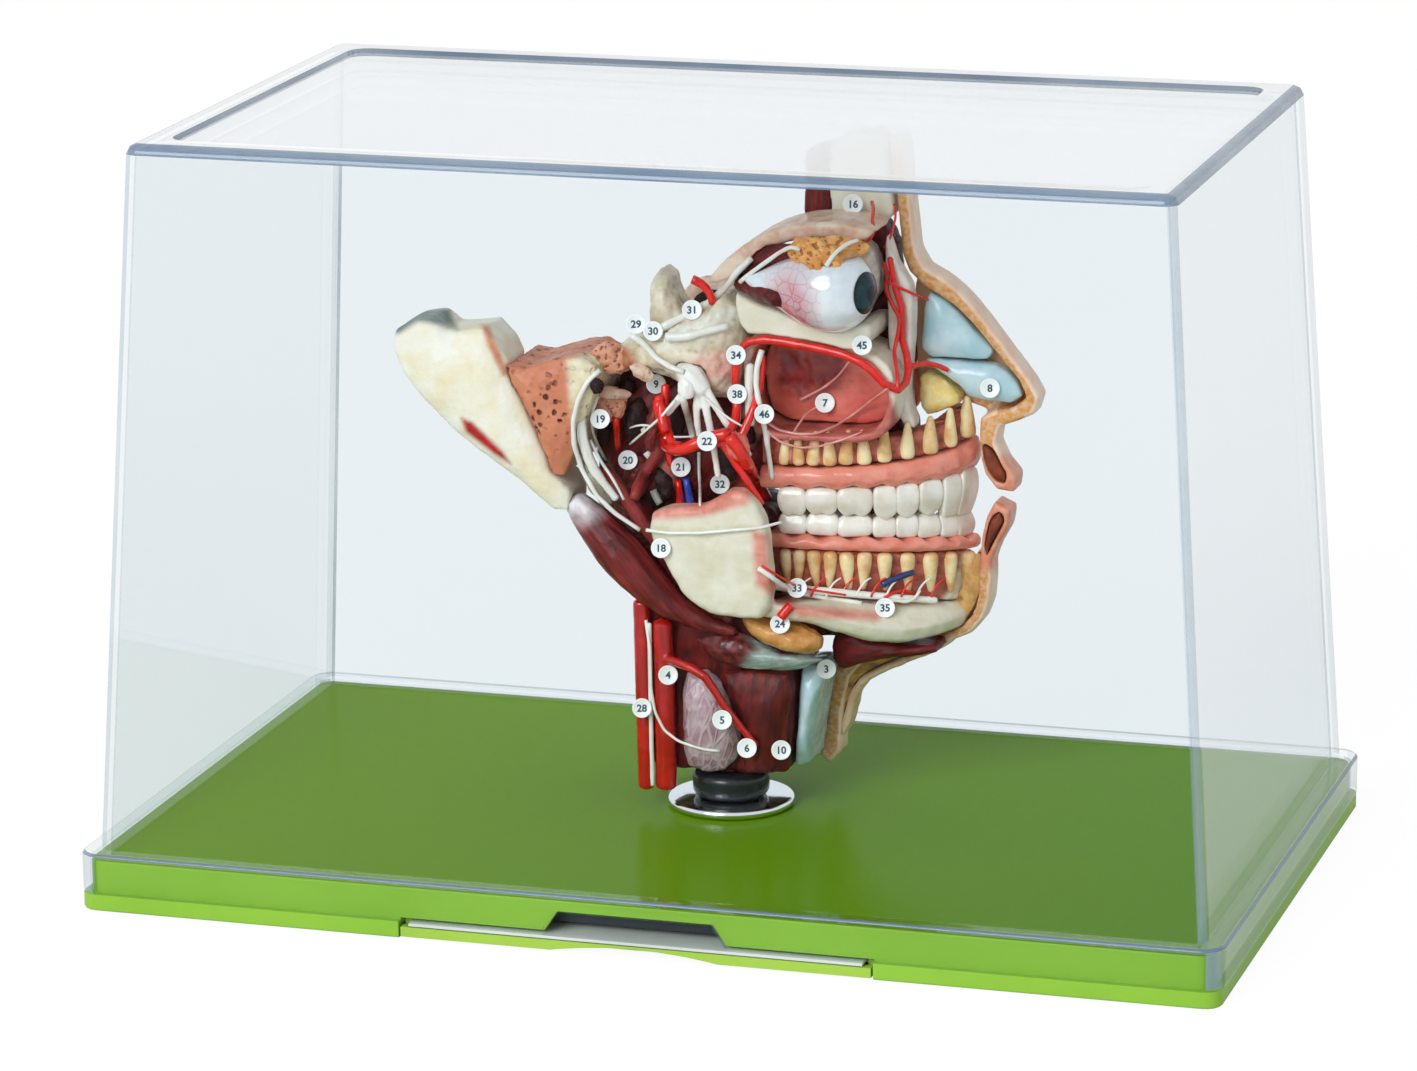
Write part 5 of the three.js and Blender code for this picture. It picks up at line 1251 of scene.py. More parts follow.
CASTS = (
    Cast("skull_core", DARK_MUSCLE, 1.0, 14, (9, 1.2), (3.5, 1.0, 50), patches=(
        Patch("e8ded2", "cdbcae", ((898, 262), (934, 286), (934, 400), (905, 425), (896, 380)), 5),
    )),
    Cast("neck_core", DARK_MUSCLE, 0.9, 12, (9, 1.2), (3.0, 1.0, 10)),
    Cast("mouth_floor", MUSCLE, 0.9, 14, (6, 0.8)),
    Cast("frontal_bone", BONE, 0.7, 8, (5, 0.3)),
    Cast("temporal_muscle", MUSCLE, 0.6, 8, (6, 0.4), (2.4, 0.7, 0)),
    Cast("orbital_fat", FAT, 0.7, 10, (3, 0.8), patches=(
        Patch("f1ebe6", "dccbc1", ((868, 225), (910, 225), (910, 345), (868, 345)), 6),
    )),
    Cast("orbital_roof", RIM_BONE, 0.6, 8, (4, 0.5), slot=Slot.SKIN),
    Cast("skull_base", SKULL_BONE, 0.6, 7, (4, 1.6), patches=(
        Patch("ecc3b2", "d99a88", ((690, 362), (712, 352), (742, 352), (752, 366), (735, 378), (700, 380)), 8),
        Patch("f0ece0", "dcd4bf", ((640, 330), (700, 318), (740, 300), (748, 318), (700, 342), (660, 350)), 8),
        Patch("c98a68", "a2603f", ((596, 345), (612, 340), (632, 350), (640, 372), (612, 378), (600, 366)), 6),
    )),
    Cast("orbital_floor", BONE, 0.6, 8, (4, 0.5)),
    Cast("pterygoid_muscle", DARK_MUSCLE, 0.8, 12, (5, 1.6), (2.6, 1.2, 35), patches=(
        Patch("d88f80", "b05f54", ((664, 448), (676, 444), (672, 482), (662, 500), (654, 492)), 5),
        Patch("c65a4c", "8e2a26", ((724, 470), (748, 462), (762, 484), (764, 506), (742, 500), (728, 488)), 6),
        Patch("e2b7a4", "b98672", ((744, 396), (758, 392), (762, 430), (752, 446), (744, 430)), 5),
        # A near-black patch: painted shadow in a hollow of the muscle.
        Patch("20070a", "120406", ((640, 500), (668, 476), (674, 500), (658, 512)), 5),
    )),
    Cast("temporal_bone", TEMPLE_BONE, 0.8, 14, (8, 0.7), patches=(
        Patch("93a09a", "6f7d78", (
            (386, 328), (400, 312), (450, 308), (458, 330), (440, 324), (418, 322), (398, 334),
        ), 4),
        Patch("c9241c", "9a1a16", ((461, 418), (472, 422), (502, 451), (511, 464), (494, 454), (466, 432)), 3),
        Patch("dfa07f", "cf8562", ((481, 324), (489, 325), (500, 352), (510, 376), (502, 376), (488, 346)), 3),
    )),
    Cast("mastoid_cells", MARROW, 0.5, 8, (6, 0.6), None, (2.6, 0.4), (
        Patch("efe3c6", "dcc9a0", ((566, 360), (600, 350), (640, 350), (640, 480), (575, 480), (572, 420)), 5),
    )),
    Cast("maxilla", BONE, 0.6, 8, (4, 0.5), patches=(
        Patch("d0776b", "ac4f46", (
            (752, 346), (762, 341), (826, 340), (856, 352), (888, 388), (900, 420), (905, 480), (745, 480),
        ), 5),
    )),
    Cast("sinus_lining", MUCOSA, 0.6, 10, (8, 1.6), patches=(
        Patch("962a26", "681414", ((776, 348), (846, 348), (850, 372), (838, 392), (800, 396), (776, 384)), 12),
        # A lighter patch: painted light on the sinus's concave left wall, where the wall lies in shade.
        Patch("e08a7a", "cc6a5c", ((756, 350), (770, 348), (770, 400), (764, 430), (754, 420)), 6),
    )),
    Cast("nasal_process", NOSE_BONE, 0.6, 8, (4, 0.4)),
    Cast("upper_face_skin", SKIN, 0.6, 8, (5, 0.25), patches=(
        Patch("e6a288", "d98264", ((972, 458), (1030, 452), (1040, 500), (966, 502)), 8),
    )),
    Cast("lower_face_skin", LOWER_SKIN, 0.6, 8, (5, 0.25), patches=(
        Patch("e6a288", "d98264", ((966, 490), (1034, 490), (1026, 566), (972, 572)), 8),
    )),
    Cast("lip_muscle_upper", LIP, 0.4, 8, (2, 0.3)),
    Cast("lip_muscle_lower", LIP, 0.4, 8, (2, 0.3)),
    Cast("nasal_cartilage_upper", CARTILAGE, 0.6, 12, (5, 0.4)),
    Cast("nasal_cartilage_alar", CARTILAGE, 0.6, 12, (5, 0.4)),
    Cast("alar_fat", ALAR_FAT, 0.5, 10, (2.5, 0.7)),
    Cast("mandible", JAW_BONE, 0.7, 9, (6, 0.8), patches=(
        Patch("e79c8a", "cf7766", (
            (650, 520), (655, 508), (690, 502), (730, 484), (752, 490), (748, 504), (705, 516),
        ), 5),
        Patch("e79c8a", "d07a69", (
            (752, 530), (768, 535), (768, 570), (800, 606), (880, 612), (880, 620), (800, 618), (756, 584),
        ), 5),
    )),
    Cast("upper_root_bed", BED, 0.6, 8, (2.5, 0.5)),
    Cast("lower_root_bed", BED, 0.6, 8, (2.5, 0.5), patches=(
        Patch("f0e8d6", "dccdb0", ((966, 546), (990, 535), (990, 610), (935, 606), (950, 590)), 4),
    )),
    Cast("upper_gum", GUM, 0.5, 8, (3, 0.4)),
    Cast("lower_gum", GUM, 0.5, 8, (3, 0.4)),
    Cast("mylohyoid_muscle", DARK_MUSCLE, 0.6, 8, (4, 0.4), (2, 0.7, 70)),
    Cast("submandibular_gland", GLAND, 0.6, 10, (3, 0.9)),
    Cast("thyroid_gland", THYROID, 0.6, 10, (4, 0.6), (2, 0.6, 15)),
    Cast("infrahyoid_muscles", STRAP_MUSCLE, 0.6, 10, (6, 0.5), (2.6, 1.1, 8)),
    Cast("hyoid_region", FASCIA, 0.6, 8, (4, 0.9), (2, 0.9, 80), patches=(
        Patch("7c2c2a", "45100f", ((686, 628), (742, 630), (756, 648), (738, 672), (704, 664)), 7),
        Patch("7c2c2a", "501614", ((770, 640), (800, 640), (806, 652), (780, 656)), 4),
    )),
    Cast("thyroid_cartilage", CARTILAGE, 0.6, 10, (5, 0.5)),
    Cast("trigeminal_nerve", NERVE, 0.4, 6, (2, 0.2)),
    Cast("maxillary_artery", ARTERY, 0.4, 6, (3, 0.25)),
    Cast("external_carotid", CAROTID, 0.5, 10, (5, 0.3)),
    Cast("infraorbital_artery", ARTERY, 0.4, 6, (3, 0.2)),
    Cast("digastric_muscle", MUSCLE, 0.5, 10, (5, 0.4), (2.2, 0.7, -40), patches=(
        # A white patch: a painted highlight of the sheen at the muscle's mastoid end.
        Patch("ece8ea", "bfa9ae", ((545, 488), (588, 492), (600, 512), (582, 524), (558, 516)), 14),
    )),
    Cast("stylohyoid_muscle", MUSCLE, 0.5, 8, (4, 0.3), (2, 0.5, -35)),
    Cast("internal_carotid", CAROTID, 0.5, 10, (5, 0.3)),
    *(
        Cast(f"{nerve}_nerve", NERVE, 0.35, 5, (3, 0.15))
        for nerve in ("vagus", "mandibular", "maxillary", "facial")
    ),
    Cast("levator_muscle", DARK_MUSCLE, 0.5, 8, (3, 0.4), (2, 0.5, 65)),
    Cast("lateral_rectus", DARK_MUSCLE, 0.4, 8, (3, 0.3), (1.6, 0.4, 100)),
    Cast("optic_nerve", NERVE, 0.4, 8, (3, 0.2)),
    Cast("lacrimal_gland", GLAND, 0.5, 8, (2.4, 0.8)),
)


# A small branch to the root of a lower tooth, and how far the next one is from it.
TWIG = ((796, 597), (799, 588), (804, 581), (811, 578))
TWIG_PITCH = 15
VESSELS = (
    Strand("facial_nerve_outer", NERVE, 0.8, (
        (600, 370), (588, 381), (578, 400), (573, 422), (574, 445), (582, 470), (597, 496), (616, 514), (640, 530),
    )),
    Strand("facial_nerve_third", GREY_NERVE, 0.5, ((590, 440), (600, 460), (611, 476), (618, 488), (624, 500))),
    Strand("ear_wall_nerve", NERVE, 0.5, ((598, 396), (592, 412), (592, 430), (598, 446), (606, 460))),
    Strand("buccal_nerve", NERVE, 0.55, ((646, 530), (668, 533), (700, 533), (735, 530), (760, 528), (782, 522))),
    Strand("chorda_nerve", NERVE, 0.45, ((676, 400), (660, 418), (644, 432), (630, 444))),
    Strand("chorda_side_nerve", NERVE, 0.35, ((650, 426), (640, 424), (630, 428))),
    Strand("lingual_nerve", NERVE, 1.0, ((682, 396), (686, 410), (690, 424), (693, 438)), taper=1.0),
    Strand("palate_nerve", NERVE, 0.4, ((706, 398), (718, 410), (731, 420), (742, 426))),
    Strand("cross_nerve", NERVE, 0.35, ((664, 438), (674, 436), (684, 438), (694, 436))),
    Strand("upright_nerve", NERVE, 0.5, ((699, 452), (699, 470), (700, 488), (700, 506))),
    Strand("buccal_artery", ARTERY, 2.0, ((729, 436), (738, 448), (747, 463), (757, 480), (767, 498)), taper=0.8),
    Strand("sphenoid_artery", ARTERY, 1.4, ((722, 438), (730, 431), (736, 420), (737, 402)), taper=1.0),
    Strand("temporal_artery_stub", ARTERY, 1.5, ((658, 396), (661, 408), (662, 420), (666, 432)), taper=1.0),
    Strand("posterior_dental_nerve", NERVE, 0.9, (
        (762, 350), (757, 366), (756, 384), (758, 398), (761, 410), (765, 430), (769, 456), (772, 478),
    )),
    Strand("posterior_dental_thread", ROSE_NERVE, 0.6, ((768, 430), (768, 446), (770, 462), (772, 480))),
    Strand("skull_nerve_upper", NERVE, 1.25, (
        (640, 329), (655, 331), (672, 322), (694, 312), (712, 301), (726, 286), (738, 271), (752, 258),
    )),
    Strand("skull_nerve_middle", NERVE, 1.4, ((666, 337), (684, 337), (704, 332), (728, 326))),
    Strand("skull_nerve_lower", NERVE, 1.0, ((630, 334), (644, 344), (656, 358), (672, 368), (684, 372))),
    Strand("orbit_edge_nerve", NERVE, 0.7, (
        (740, 282), (752, 272), (766, 262), (780, 252), (792, 246), (800, 250),
    )),
    Strand("brow_nerve", NERVE, 0.7, ((826, 266), (834, 254), (846, 244), (858, 240))),
    Strand("pharyngeal_artery", ARTERY, 1.7, (
        (658, 400), (660, 416), (663, 434), (667, 448), (682, 450), (698, 443), (714, 436), (730, 434),
    ), taper=1.1),
    Strand("pharyngeal_branch", ARTERY, 1.2, ((667, 446), (669, 456), (671, 466)), taper=0.9),
    Strand("ascending_artery", ARTERY, 1.1, ((616, 418), (617, 432), (618, 448))),
    Strand("styloid_stub_upper", NERVE, 1.1, ((646, 452), (650, 457), (655, 462)), taper=1.0, slot=Slot.BONE),
    Strand("styloid_stub_lower", NERVE, 1.1, ((653, 490), (656, 497), (660, 504)), taper=1.0, slot=Slot.BONE),
    Strand("retromandibular_vein", DARK_VEIN, 1.9, ((662, 446), (655, 458), (644, 474), (636, 490), (634, 500))),
    Strand("skull_artery", ARTERY, 1.4, ((692, 279), (699, 282), (706, 287), (711, 295), (713, 304))),
    Strand("alveolar_artery", ARTERY, 1.2, ((680, 506), (680, 494), (678, 480)), bridge=0),
    Strand("alveolar_vein", VEIN, 1.3, ((691, 508), (689, 494), (686, 478)), bridge=0),
    Strand("facial_artery_stub", ARTERY, 1.5, ((780, 618), (785, 612), (791, 605)), taper=1.0),
    Strand("chin_vein", NAVY_VEIN, 1.1, ((881, 585), (892, 580), (904, 575), (914, 572))),
    Strand("chin_artery", ARTERY, 0.5, ((884, 598), (894, 592), (906, 590), (914, 594))),
    Strand("chin_nerve", NERVE, 0.6, ((882, 604), (894, 600), (906, 602), (916, 598), (920, 590))),
    Strand("dental_nerve", NERVE, 0.8, (
        (758, 568), (770, 576), (782, 585), (800, 593), (820, 597), (842, 600), (862, 603),
    )),
    Strand("dental_artery", ARTERY, 0.4, ((762, 566), (774, 573), (788, 582), (806, 589), (826, 592), (846, 595))),
    Strand("brow_artery", ARTERY, 0.6, (
        (872, 202), (874, 208), (873, 215), (872, 222), (875, 229), (872, 236), (868, 242),
    ), bridge=1),
    Strand("temporal_thread", ARTERY, 0.4, ((894, 204), (896, 216), (893, 228), (890, 240), (884, 248))),
    Strand("nose_artery_upper", ARTERY, 0.5, ((888, 282), (900, 288), (914, 294), (928, 300)), bridge=1),
    Strand("cheek_artery", ARTERY, 0.7, (
        (884, 262), (888, 276), (886, 290), (892, 304), (900, 318), (898, 334), (894, 352), (897, 372), (898, 392),
    )),
    Strand("sinus_thread_upper", THREAD, 0.4, (
        (800, 400), (812, 394), (826, 386), (838, 376), (846, 366), (852, 358),
    ), sink=0.45),
    Strand("sinus_thread_middle", THREAD, 0.45, (
        (764, 420), (778, 430), (796, 434), (816, 434), (836, 426), (854, 414), (872, 400), (888, 388),
    ), sink=0.45),
    Strand("sinus_thread_lower", THREAD, 0.4, (
        (766, 430), (780, 442), (800, 448), (822, 446), (842, 440), (862, 432),
    ), sink=0.45),
    Strand("sinus_thread_back", THREAD, 0.35, (
        (790, 440), (796, 428), (806, 414), (818, 406), (830, 402),
    ), sink=0.45),
    Strand("neck_nerve", NERVE, 0.5, (
        (646, 620), (650, 650), (651, 690), (655, 712), (664, 730), (678, 741), (692, 746), (706, 750), (720, 751),
    )),
    *(
        Strand(f"root_twig_{number}", (NERVE, ARTERY)[number % 2], 0.35, tuple(
            (across + TWIG_PITCH * number, down) for across, down in TWIG
        ), slot=Slot.ARTERY)
        for number in range(10)
    ),
)

# Each tag's number and its place in the frame.
TAGS = (
    ("16", 853, 204), ("45", 862, 345), ("7", 825, 403), ("46", 764, 414), ("8", 990, 388), ("9", 656, 384),
    ("20", 628, 460), ("21", 681, 467), ("22", 707, 441), ("32", 720, 484), ("38", 737, 394), ("18", 661, 548),
    ("33", 797, 588), ("35", 885, 608), ("24", 780, 624), ("3", 826, 669), ("4", 668, 675), ("5", 722, 720),
    ("6", 747, 748), ("10", 781, 750), ("28", 642, 708), ("29", 636, 324), ("30", 653, 331), ("31", 692, 310),
    ("34", 736, 355), ("19", 600, 419),
)


@dataclass
class NumberTags:
    """Round white tags, each with the number of a structure."""

    sight: Sight
    radius: float = 2.9
    thickness: float = 0.7
    lift: float = 4.0
    rim_inset: float = 0.35
    rim_step: float = 0.15
    dish: float = 0.12
    figure_size: float = 3.0
    figure_drop: float = 1.05
    figure_height: float = 0.06
    figure_weight: float = 0.08
    tilt: float = 0.15
    clear_pixels: tuple[int, int] = (5, 9)

    def blank(self) -> Piece:
        """One tag without its number: a disc with a rounded, slightly raised rim."""
        disc = Workbench.add(
            "tag_blank", bpy.ops.mesh.primitive_cylinder_add, vertices=40, radius=self.radius * MM,
            depth=self.thickness * MM,
        )
        for part in (*disc.data.vertices, *disc.data.edges):
            part.select = False
        for face in disc.data.polygons:
            face.select = face.normal.z > 0.9
        bpy.ops.object.mode_set(mode="EDIT")
        bpy.ops.mesh.select_mode(type="FACE")
        bpy.ops.mesh.inset(thickness=self.rim_inset * MM)
        bpy.ops.mesh.inset(thickness=self.rim_step * MM, depth=-self.dish * MM)
        bpy.ops.object.mode_set(mode="OBJECT")
        Workbench.bevel(disc, 0.12, 2, 40)
        Workbench.smooth(disc, 40)
        return disc

    def figure(self, number: str) -> Piece:
        """The number's raised ink."""
        Workbench.clear()
        bpy.ops.object.text_add(location=(0, -self.figure_drop * MM, self.thickness * MM * 0.4))
        figure = bpy.context.active_object
        figure.data.body = number
        figure.data.align_x = "CENTER"
        figure.data.size = self.figure_size * MM
        figure.data.extrude = self.figure_height * MM
        figure.data.resolution_u = 3
        figure.data.offset = self.figure_weight * MM
        Workbench.hold(figure)
        bpy.ops.object.convert(target="MESH")
        Workbench.dress(figure, INK)
        return figure

    def place(self, across: float, down: float) -> Matrix:
        """Where a tag stands, clear of what is round it, and how it faces the camera."""
        _, normal, far = self.sight.touch(across, down)
        toward = -self.sight.ray(across, down)
        facing = (normal * self.tilt + toward).normalized()
        rim = [hit[2] for reach in self.clear_pixels for hit in self.sight.ring(across, down, reach, 12)]
        spot = self.sight.place - toward * max(min([far] + rim), far - self.lift * MM)
        up = (Vector((0, 0, 1)) - facing * facing.z).normalized()
        turn = Matrix((up.cross(facing), up, facing)).transposed().to_4x4()
        return Matrix.Translation(spot + facing * self.thickness * MM * 0.7) @ turn

    def build(self) -> None:
        """Copies the blank to each place and sets its number."""
        blank = self.blank()
        for number, across, down in TAGS:
            tag = Workbench.linked(f"tag_{number}", blank.data.copy())
            Workbench.dress(tag, WHITE)
            Workbench.joined([tag, self.figure(number)])
            Workbench.fix(tag, self.place(across, down))
            Workbench.announce(tag, Slot.SCLERA)
        bpy.data.objects.remove(blank)
        log.info("%d tags", len(TAGS))


# Heights in millimetres at the back and front of a row, with True for the upper jaw.
ROOT_NECK = {True: (94.0, 100.6), False: (69.0, 65.0)}
ROOT_TIP = {True: (104.6, 114.0), False: (57.4, 51.0)}
CROWN_NECK = {True: (87.8, 91.6), False: (73.0, 68.8)}
CROWN_BITE = {True: (79.3, 76.2), False: (79.9, 77.0)}


@dataclass
class Arch:
    """The arch that the teeth stand on, a quarter of an ellipse, and what stands on it."""

    centre: Triple = (0.014, 0.032, 0.0265)
    length: float = 54.0
    half: float = 32.0
    row_turn: float = 1.5
    widths: tuple[float, ...] = (8.6, 9.8, 10.6, 7.2, 7.2, 7.8, 7.0, 8.8)

    def turns(self) -> list[float]:
        """Where each tooth's middle stands on the arch, as a turn of the ellipse."""
        steps = np.linspace(0, self.row_turn, 400)
        across = np.diff(self.length * np.sin(steps))
        deep = np.diff(self.half * np.cos(steps))
        run = np.concatenate([[0], np.cumsum(np.hypot(across, deep))])
        ends = np.cumsum(self.widths) / sum(self.widths) * run[-1]
        middles = ends - np.array(self.widths) / sum(self.widths) * run[-1] / 2
        return list(np.interp(middles, run, steps))

    def level(self, heights: tuple[float, float], turn: float) -> float:
        """A height at that turn, between those at the back and at the front of the row."""
        return heights[0] + (heights[1] - heights[0]) * (turn / self.row_turn) ** 2

    def stand(
        self, piece: Piece, turn: float, foot: float, way: int, inward: float,
        aside: float = 0.0, wobble: float = 0.0,
    ) -> Piece:
        """Moves a root or crown from the origin to its place.

        Args:
            piece: The root or crown.
            turn: Its turn on the ellipse.
            foot: Height of its neck in millimetres.
            way: 1 where it points up from its neck, -1 where it points down.
            inward: How far inside the arch it stands, in millimetres.
            aside: How far along the arch it is moved, in millimetres.
            wobble: Degrees that it leans along the arch.

        Returns:
            The same piece.
        """
        tangent = Vector((self.length * math.cos(turn), self.half * math.sin(turn), 0)).normalized()
        outward = Vector((tangent.y, -tangent.x, 0))
        up = Vector((0, 0, way))
        basis = Matrix((tangent, up.cross(tangent), up)).transposed().to_4x4()
        middle = Vector(self.centre) + MM * (
            Vector((self.length * math.sin(turn), -self.half * math.cos(turn), foot))
            + tangent * aside - outward * inward
        )
        lean = Matrix.Rotation(math.radians(wobble), 4, "Y")
        Workbench.fix(piece, Matrix.Translation(middle) @ basis @ lean)
        return piece

    def row(
        self, name: str, parts: list[Piece], finish: Finish, rounds: int, depth: float, node: str = ""
    ) -> Piece:
        """Joins and finishes one row.

        Args:
            name: The row's name.
            parts: Its roots or crowns.
            finish: What they are made of.
            rounds: How far the recesses between them reach.
            depth: Depth of a full recess in metres.
            node: The solid that the row stands for, if any.

        Returns:
            The finished row.
        """
        piece = Workbench.joined(parts)
        piece.name = name
        Workbench.edit(piece, FACE_OUT)
        Workbench.smooth(piece)
        Workbench.mark_recesses(piece, rounds, depth)
        return Workbench.settle(piece, finish, node=node)


@dataclass
class ToothRoots(Arch):
    """Tapered roots that stand proud of their bed, along the arch of the teeth."""

    forks: tuple[int, ...] = (2, 2, 2, 1, 1, 1, 1, 1)
    set_back: float = 2.2
    taper: float = 0.72
    girths: tuple[float, float] = (0.37, 0.25)
    spread: float = 0.25

    def root(self, name: str, girth: float, length: float, curl: float) -> Piece:
        """One root, its neck at the origin and its tip at length along Z, in millimetres."""
        piece = Workbench.add(
            name, bpy.ops.mesh.primitive_cylinder_add, vertices=12, radius=girth * MM, depth=length * MM,
            location=(0, 0, length / 2 * MM), end_fill_type="NGON",
        )
        for share in (0.3, 0.6, 0.85):
            cutter = {"plane_co": (0, 0, length * share * MM), "plane_no": (0, 0, 1)}
            Workbench.edit(piece, (bpy.ops.mesh.bisect, cutter))
        for vertex in piece.data.vertices:
            share = vertex.co.z / (length * MM)
            narrow = 1 - self.taper * max(share, 0) ** 1.4
            vertex.co.x = vertex.co.x * narrow + curl * MM * share**2
            vertex.co.y *= narrow
        Workbench.modify(piece, "SUBSURF", levels=2, render_levels=2)
        return piece

    def roots(self, name: str, upward: bool) -> Piece:
        """Sets one jaw's roots.

        Args:
            name: The piece's name.
            upward: True for the upper jaw.

        Returns:
            The finished row.
        """
        made = []
        for turn, width, fork in zip(self.turns(), self.widths, self.forks):
            foot, end = self.level(ROOT_NECK[upward], turn), self.level(ROOT_TIP[upward], turn)
            girth = width * self.girths[fork - 1]
            for side in ((-1, 1) if fork == 2 else (0,)):
                root = self.root(f"{name}_part", girth, abs(end - foot), side * -0.7 + 0.2)
                aside = side * (width * self.spread)
                made.append(self.stand(root, turn, foot, 1 if upward else -1, self.set_back, aside))
        return self.row(name, made, ROOT, 3, 0.0003)

    def build(self) -> list[Piece]:
        """Sets both rows."""
        return [self.roots("upper_roots", True), self.roots("lower_roots", False)]


@dataclass
class Crowns(Arch):
    """Rounded crowns of both rows, each with its cusps, and clear of its neighbours."""

    thicks: tuple[float, ...] = (9.5, 10, 10, 8.5, 8.5, 8, 6.8, 7)
    cusps: tuple[int, ...] = (2, 2, 2, 1, 1, 1, 0, 0)
    biting: tuple[float, ...] = (0.75, 0.75, 0.75, 0.75, 0.75, 0.4, 0.4, 0.4)
    overbite: float = 1.4
    crowding: float = 1.07
    uneven: float = 0.05
    wobble: float = 3.0
    neck_share: float = 0.77
    cusp_height: float = 0.1
    groove_depth: float = 0.06
    gum_edge: float = 4.0
    neck_wave: float = 1.3
    root_wave: float = 0.3
    gum_swell: float = 0.25

    def crown(self, width: float, thick: float, height: float, cusps: int, biting: float) -> Piece:
        """One crown, its neck at the origin and its biting face at height along Z.

        Args:
            width: Its width along the row, in millimetres.
            thick: Its depth across the row.
            height: Its height.
            cusps: Cusps that show from the cheek.
            biting: Share of the depth that the biting face keeps.

        Returns:
            The crown.
        """
        piece = Workbench.add("crown", bpy.ops.mesh.primitive_cube_add, size=1, location=(0, 0, 0.5))
        Workbench.edit(piece, (bpy.ops.mesh.subdivide, {"number_cuts": 3}))
        for vertex in piece.data.vertices:
            x, y, z = vertex.co
            bulge = self.neck_share + (1 - self.neck_share) * math.sin(math.pi * max(z, 0.0) ** 0.8)
            taper = 1 - (1 - biting) * max(0.0, z - 0.35) ** 1.5 * 1.6
            rise = 0.0
            if z > 0.99 and cusps:
                wave = math.cos(2 * math.pi * cusps * x) * (1 if cusps == 1 else -1)
                rise = self.cusp_height * wave - self.groove_depth * (1 - abs(y) * 2)
            vertex.co = (x * width * bulge * MM, y * thick * bulge * taper * MM, (z + rise) * height * MM)
        Workbench.modify(piece, "SUBSURF", levels=2, render_levels=2)
        return piece

    def crowns(self, name: str, node: str, upward: bool) -> Piece:
        """One jaw's crowns.

        Args:
            name: The piece's name.
            node: The solid it stands for.
            upward: True for the upper jaw.

        Returns:
            The finished row.
        """
        inset = 0.0 if upward else self.overbite
        made = []
        sizes = zip(self.turns(), self.widths, self.thicks, self.cusps, self.biting)
        for index, (turn, width, thick, cusps, biting) in enumerate(sizes):
            foot = self.level(CROWN_NECK[upward], turn)
            height = abs(foot - self.level(CROWN_BITE[upward], turn))
            tall = height * (1 + self.uneven * math.sin(index * 1.9 + 2 * upward))
            crown = self.crown(width * self.crowding, thick, tall, cusps, biting)
            wobble = self.wobble * math.sin(index * 2.3 + upward)
            made.append(self.stand(crown, turn, foot, -1 if upward else 1, inset + thick / 2, 0.0, wobble))
        return self.row(name, made, ENAMEL, 4, 0.0004, node)

    def scallop(self, piece: Piece, upward: bool) -> None:
        """Waves a gum's two edges round the necks of the teeth.

        Args:
            piece: The gum's casting.
            upward: True for the upper jaw.
        """
        place = Workbench.points(piece) / MM
        centre = np.array(self.centre) / MM
        turn = np.arctan2((place[:, 0] - centre[0]) / self.length, (centre[1] - place[:, 1]) / self.half)
        middles = np.array(self.turns())
        edges = np.concatenate([[0], (middles[1:] + middles[:-1]) / 2, [self.row_turn]])
        knots = np.sort(np.concatenate([middles, edges]))
        share = np.interp(turn, knots, np.arange(len(knots)) % 2)
        swell = 0.5 - 0.5 * np.cos(np.pi * share)
        held = np.clip(turn, 0, self.row_turn)
        way = 1 if upward else -1
        neck = self.level(CROWN_NECK[upward], held) + centre[2]
        root = self.level(ROOT_NECK[upward], held) + centre[2]
        at_neck = np.clip(1 - np.abs(place[:, 2] - neck) / self.gum_edge, 0, 1)
        at_root = np.clip(1 - np.abs(place[:, 2] - root) / self.gum_edge, 0, 1)
        place[:, 2] += way * (swell - 0.5) * (self.neck_wave * at_neck - self.root_wave * at_root)
        out = np.stack([np.sin(turn) / self.length, -np.cos(turn) / self.half], axis=1)
        out /= np.linalg.norm(out, axis=1)[:, None]
        place[:, :2] += out * (swell - 0.6)[:, None] * self.gum_swell
        Workbench.reshape(piece, place * MM)
        Workbench.modify(piece, "SMOOTH", factor=0.5, iterations=5)

    def build(self) -> list[Piece]:
        """Sets both rows, and fits the gums to them."""
        self.scallop(bpy.data.objects["upper_gum_cast"], True)
        self.scallop(bpy.data.objects["lower_gum_cast"], False)
        return [
            self.crowns("upper_crowns", "upper_teeth", True),
            self.crowns("lower_crowns", "lower_teeth", False),
        ]


def lump(
    name: str, place: Matrix, radii: Triple, rough: float, grain: float = 2.4, uneven: float = 0.25,
) -> Piece:
    """A rounded, uneven mass.

    Args:
        name: The piece's name.
        place: Where its middle is, and how it is turned.
        radii: Its half sizes in millimetres.
        rough: How uneven it is, in millimetres.
        grain: Size of its bumps in millimetres.
        uneven: How far it is from a true ellipsoid, as a share of its half sizes.

    Returns:
        The mass, without a finish.
    """
    piece = Workbench.add(name, bpy.ops.mesh.primitive_ico_sphere_add, subdivisions=5, radius=MM)
    Workbench.ruffle(piece, "CLOUDS", 0.7 * MM, uneven * MM)
    Workbench.fix(piece, place @ Matrix.Diagonal((*radii, 1)))
    Workbench.ruffle(piece, "CLOUDS", grain * MM, rough * MM)
    Workbench.smooth(piece)
    Workbench.mark_recesses(piece, 5, 0.0001 * grain)
    return piece


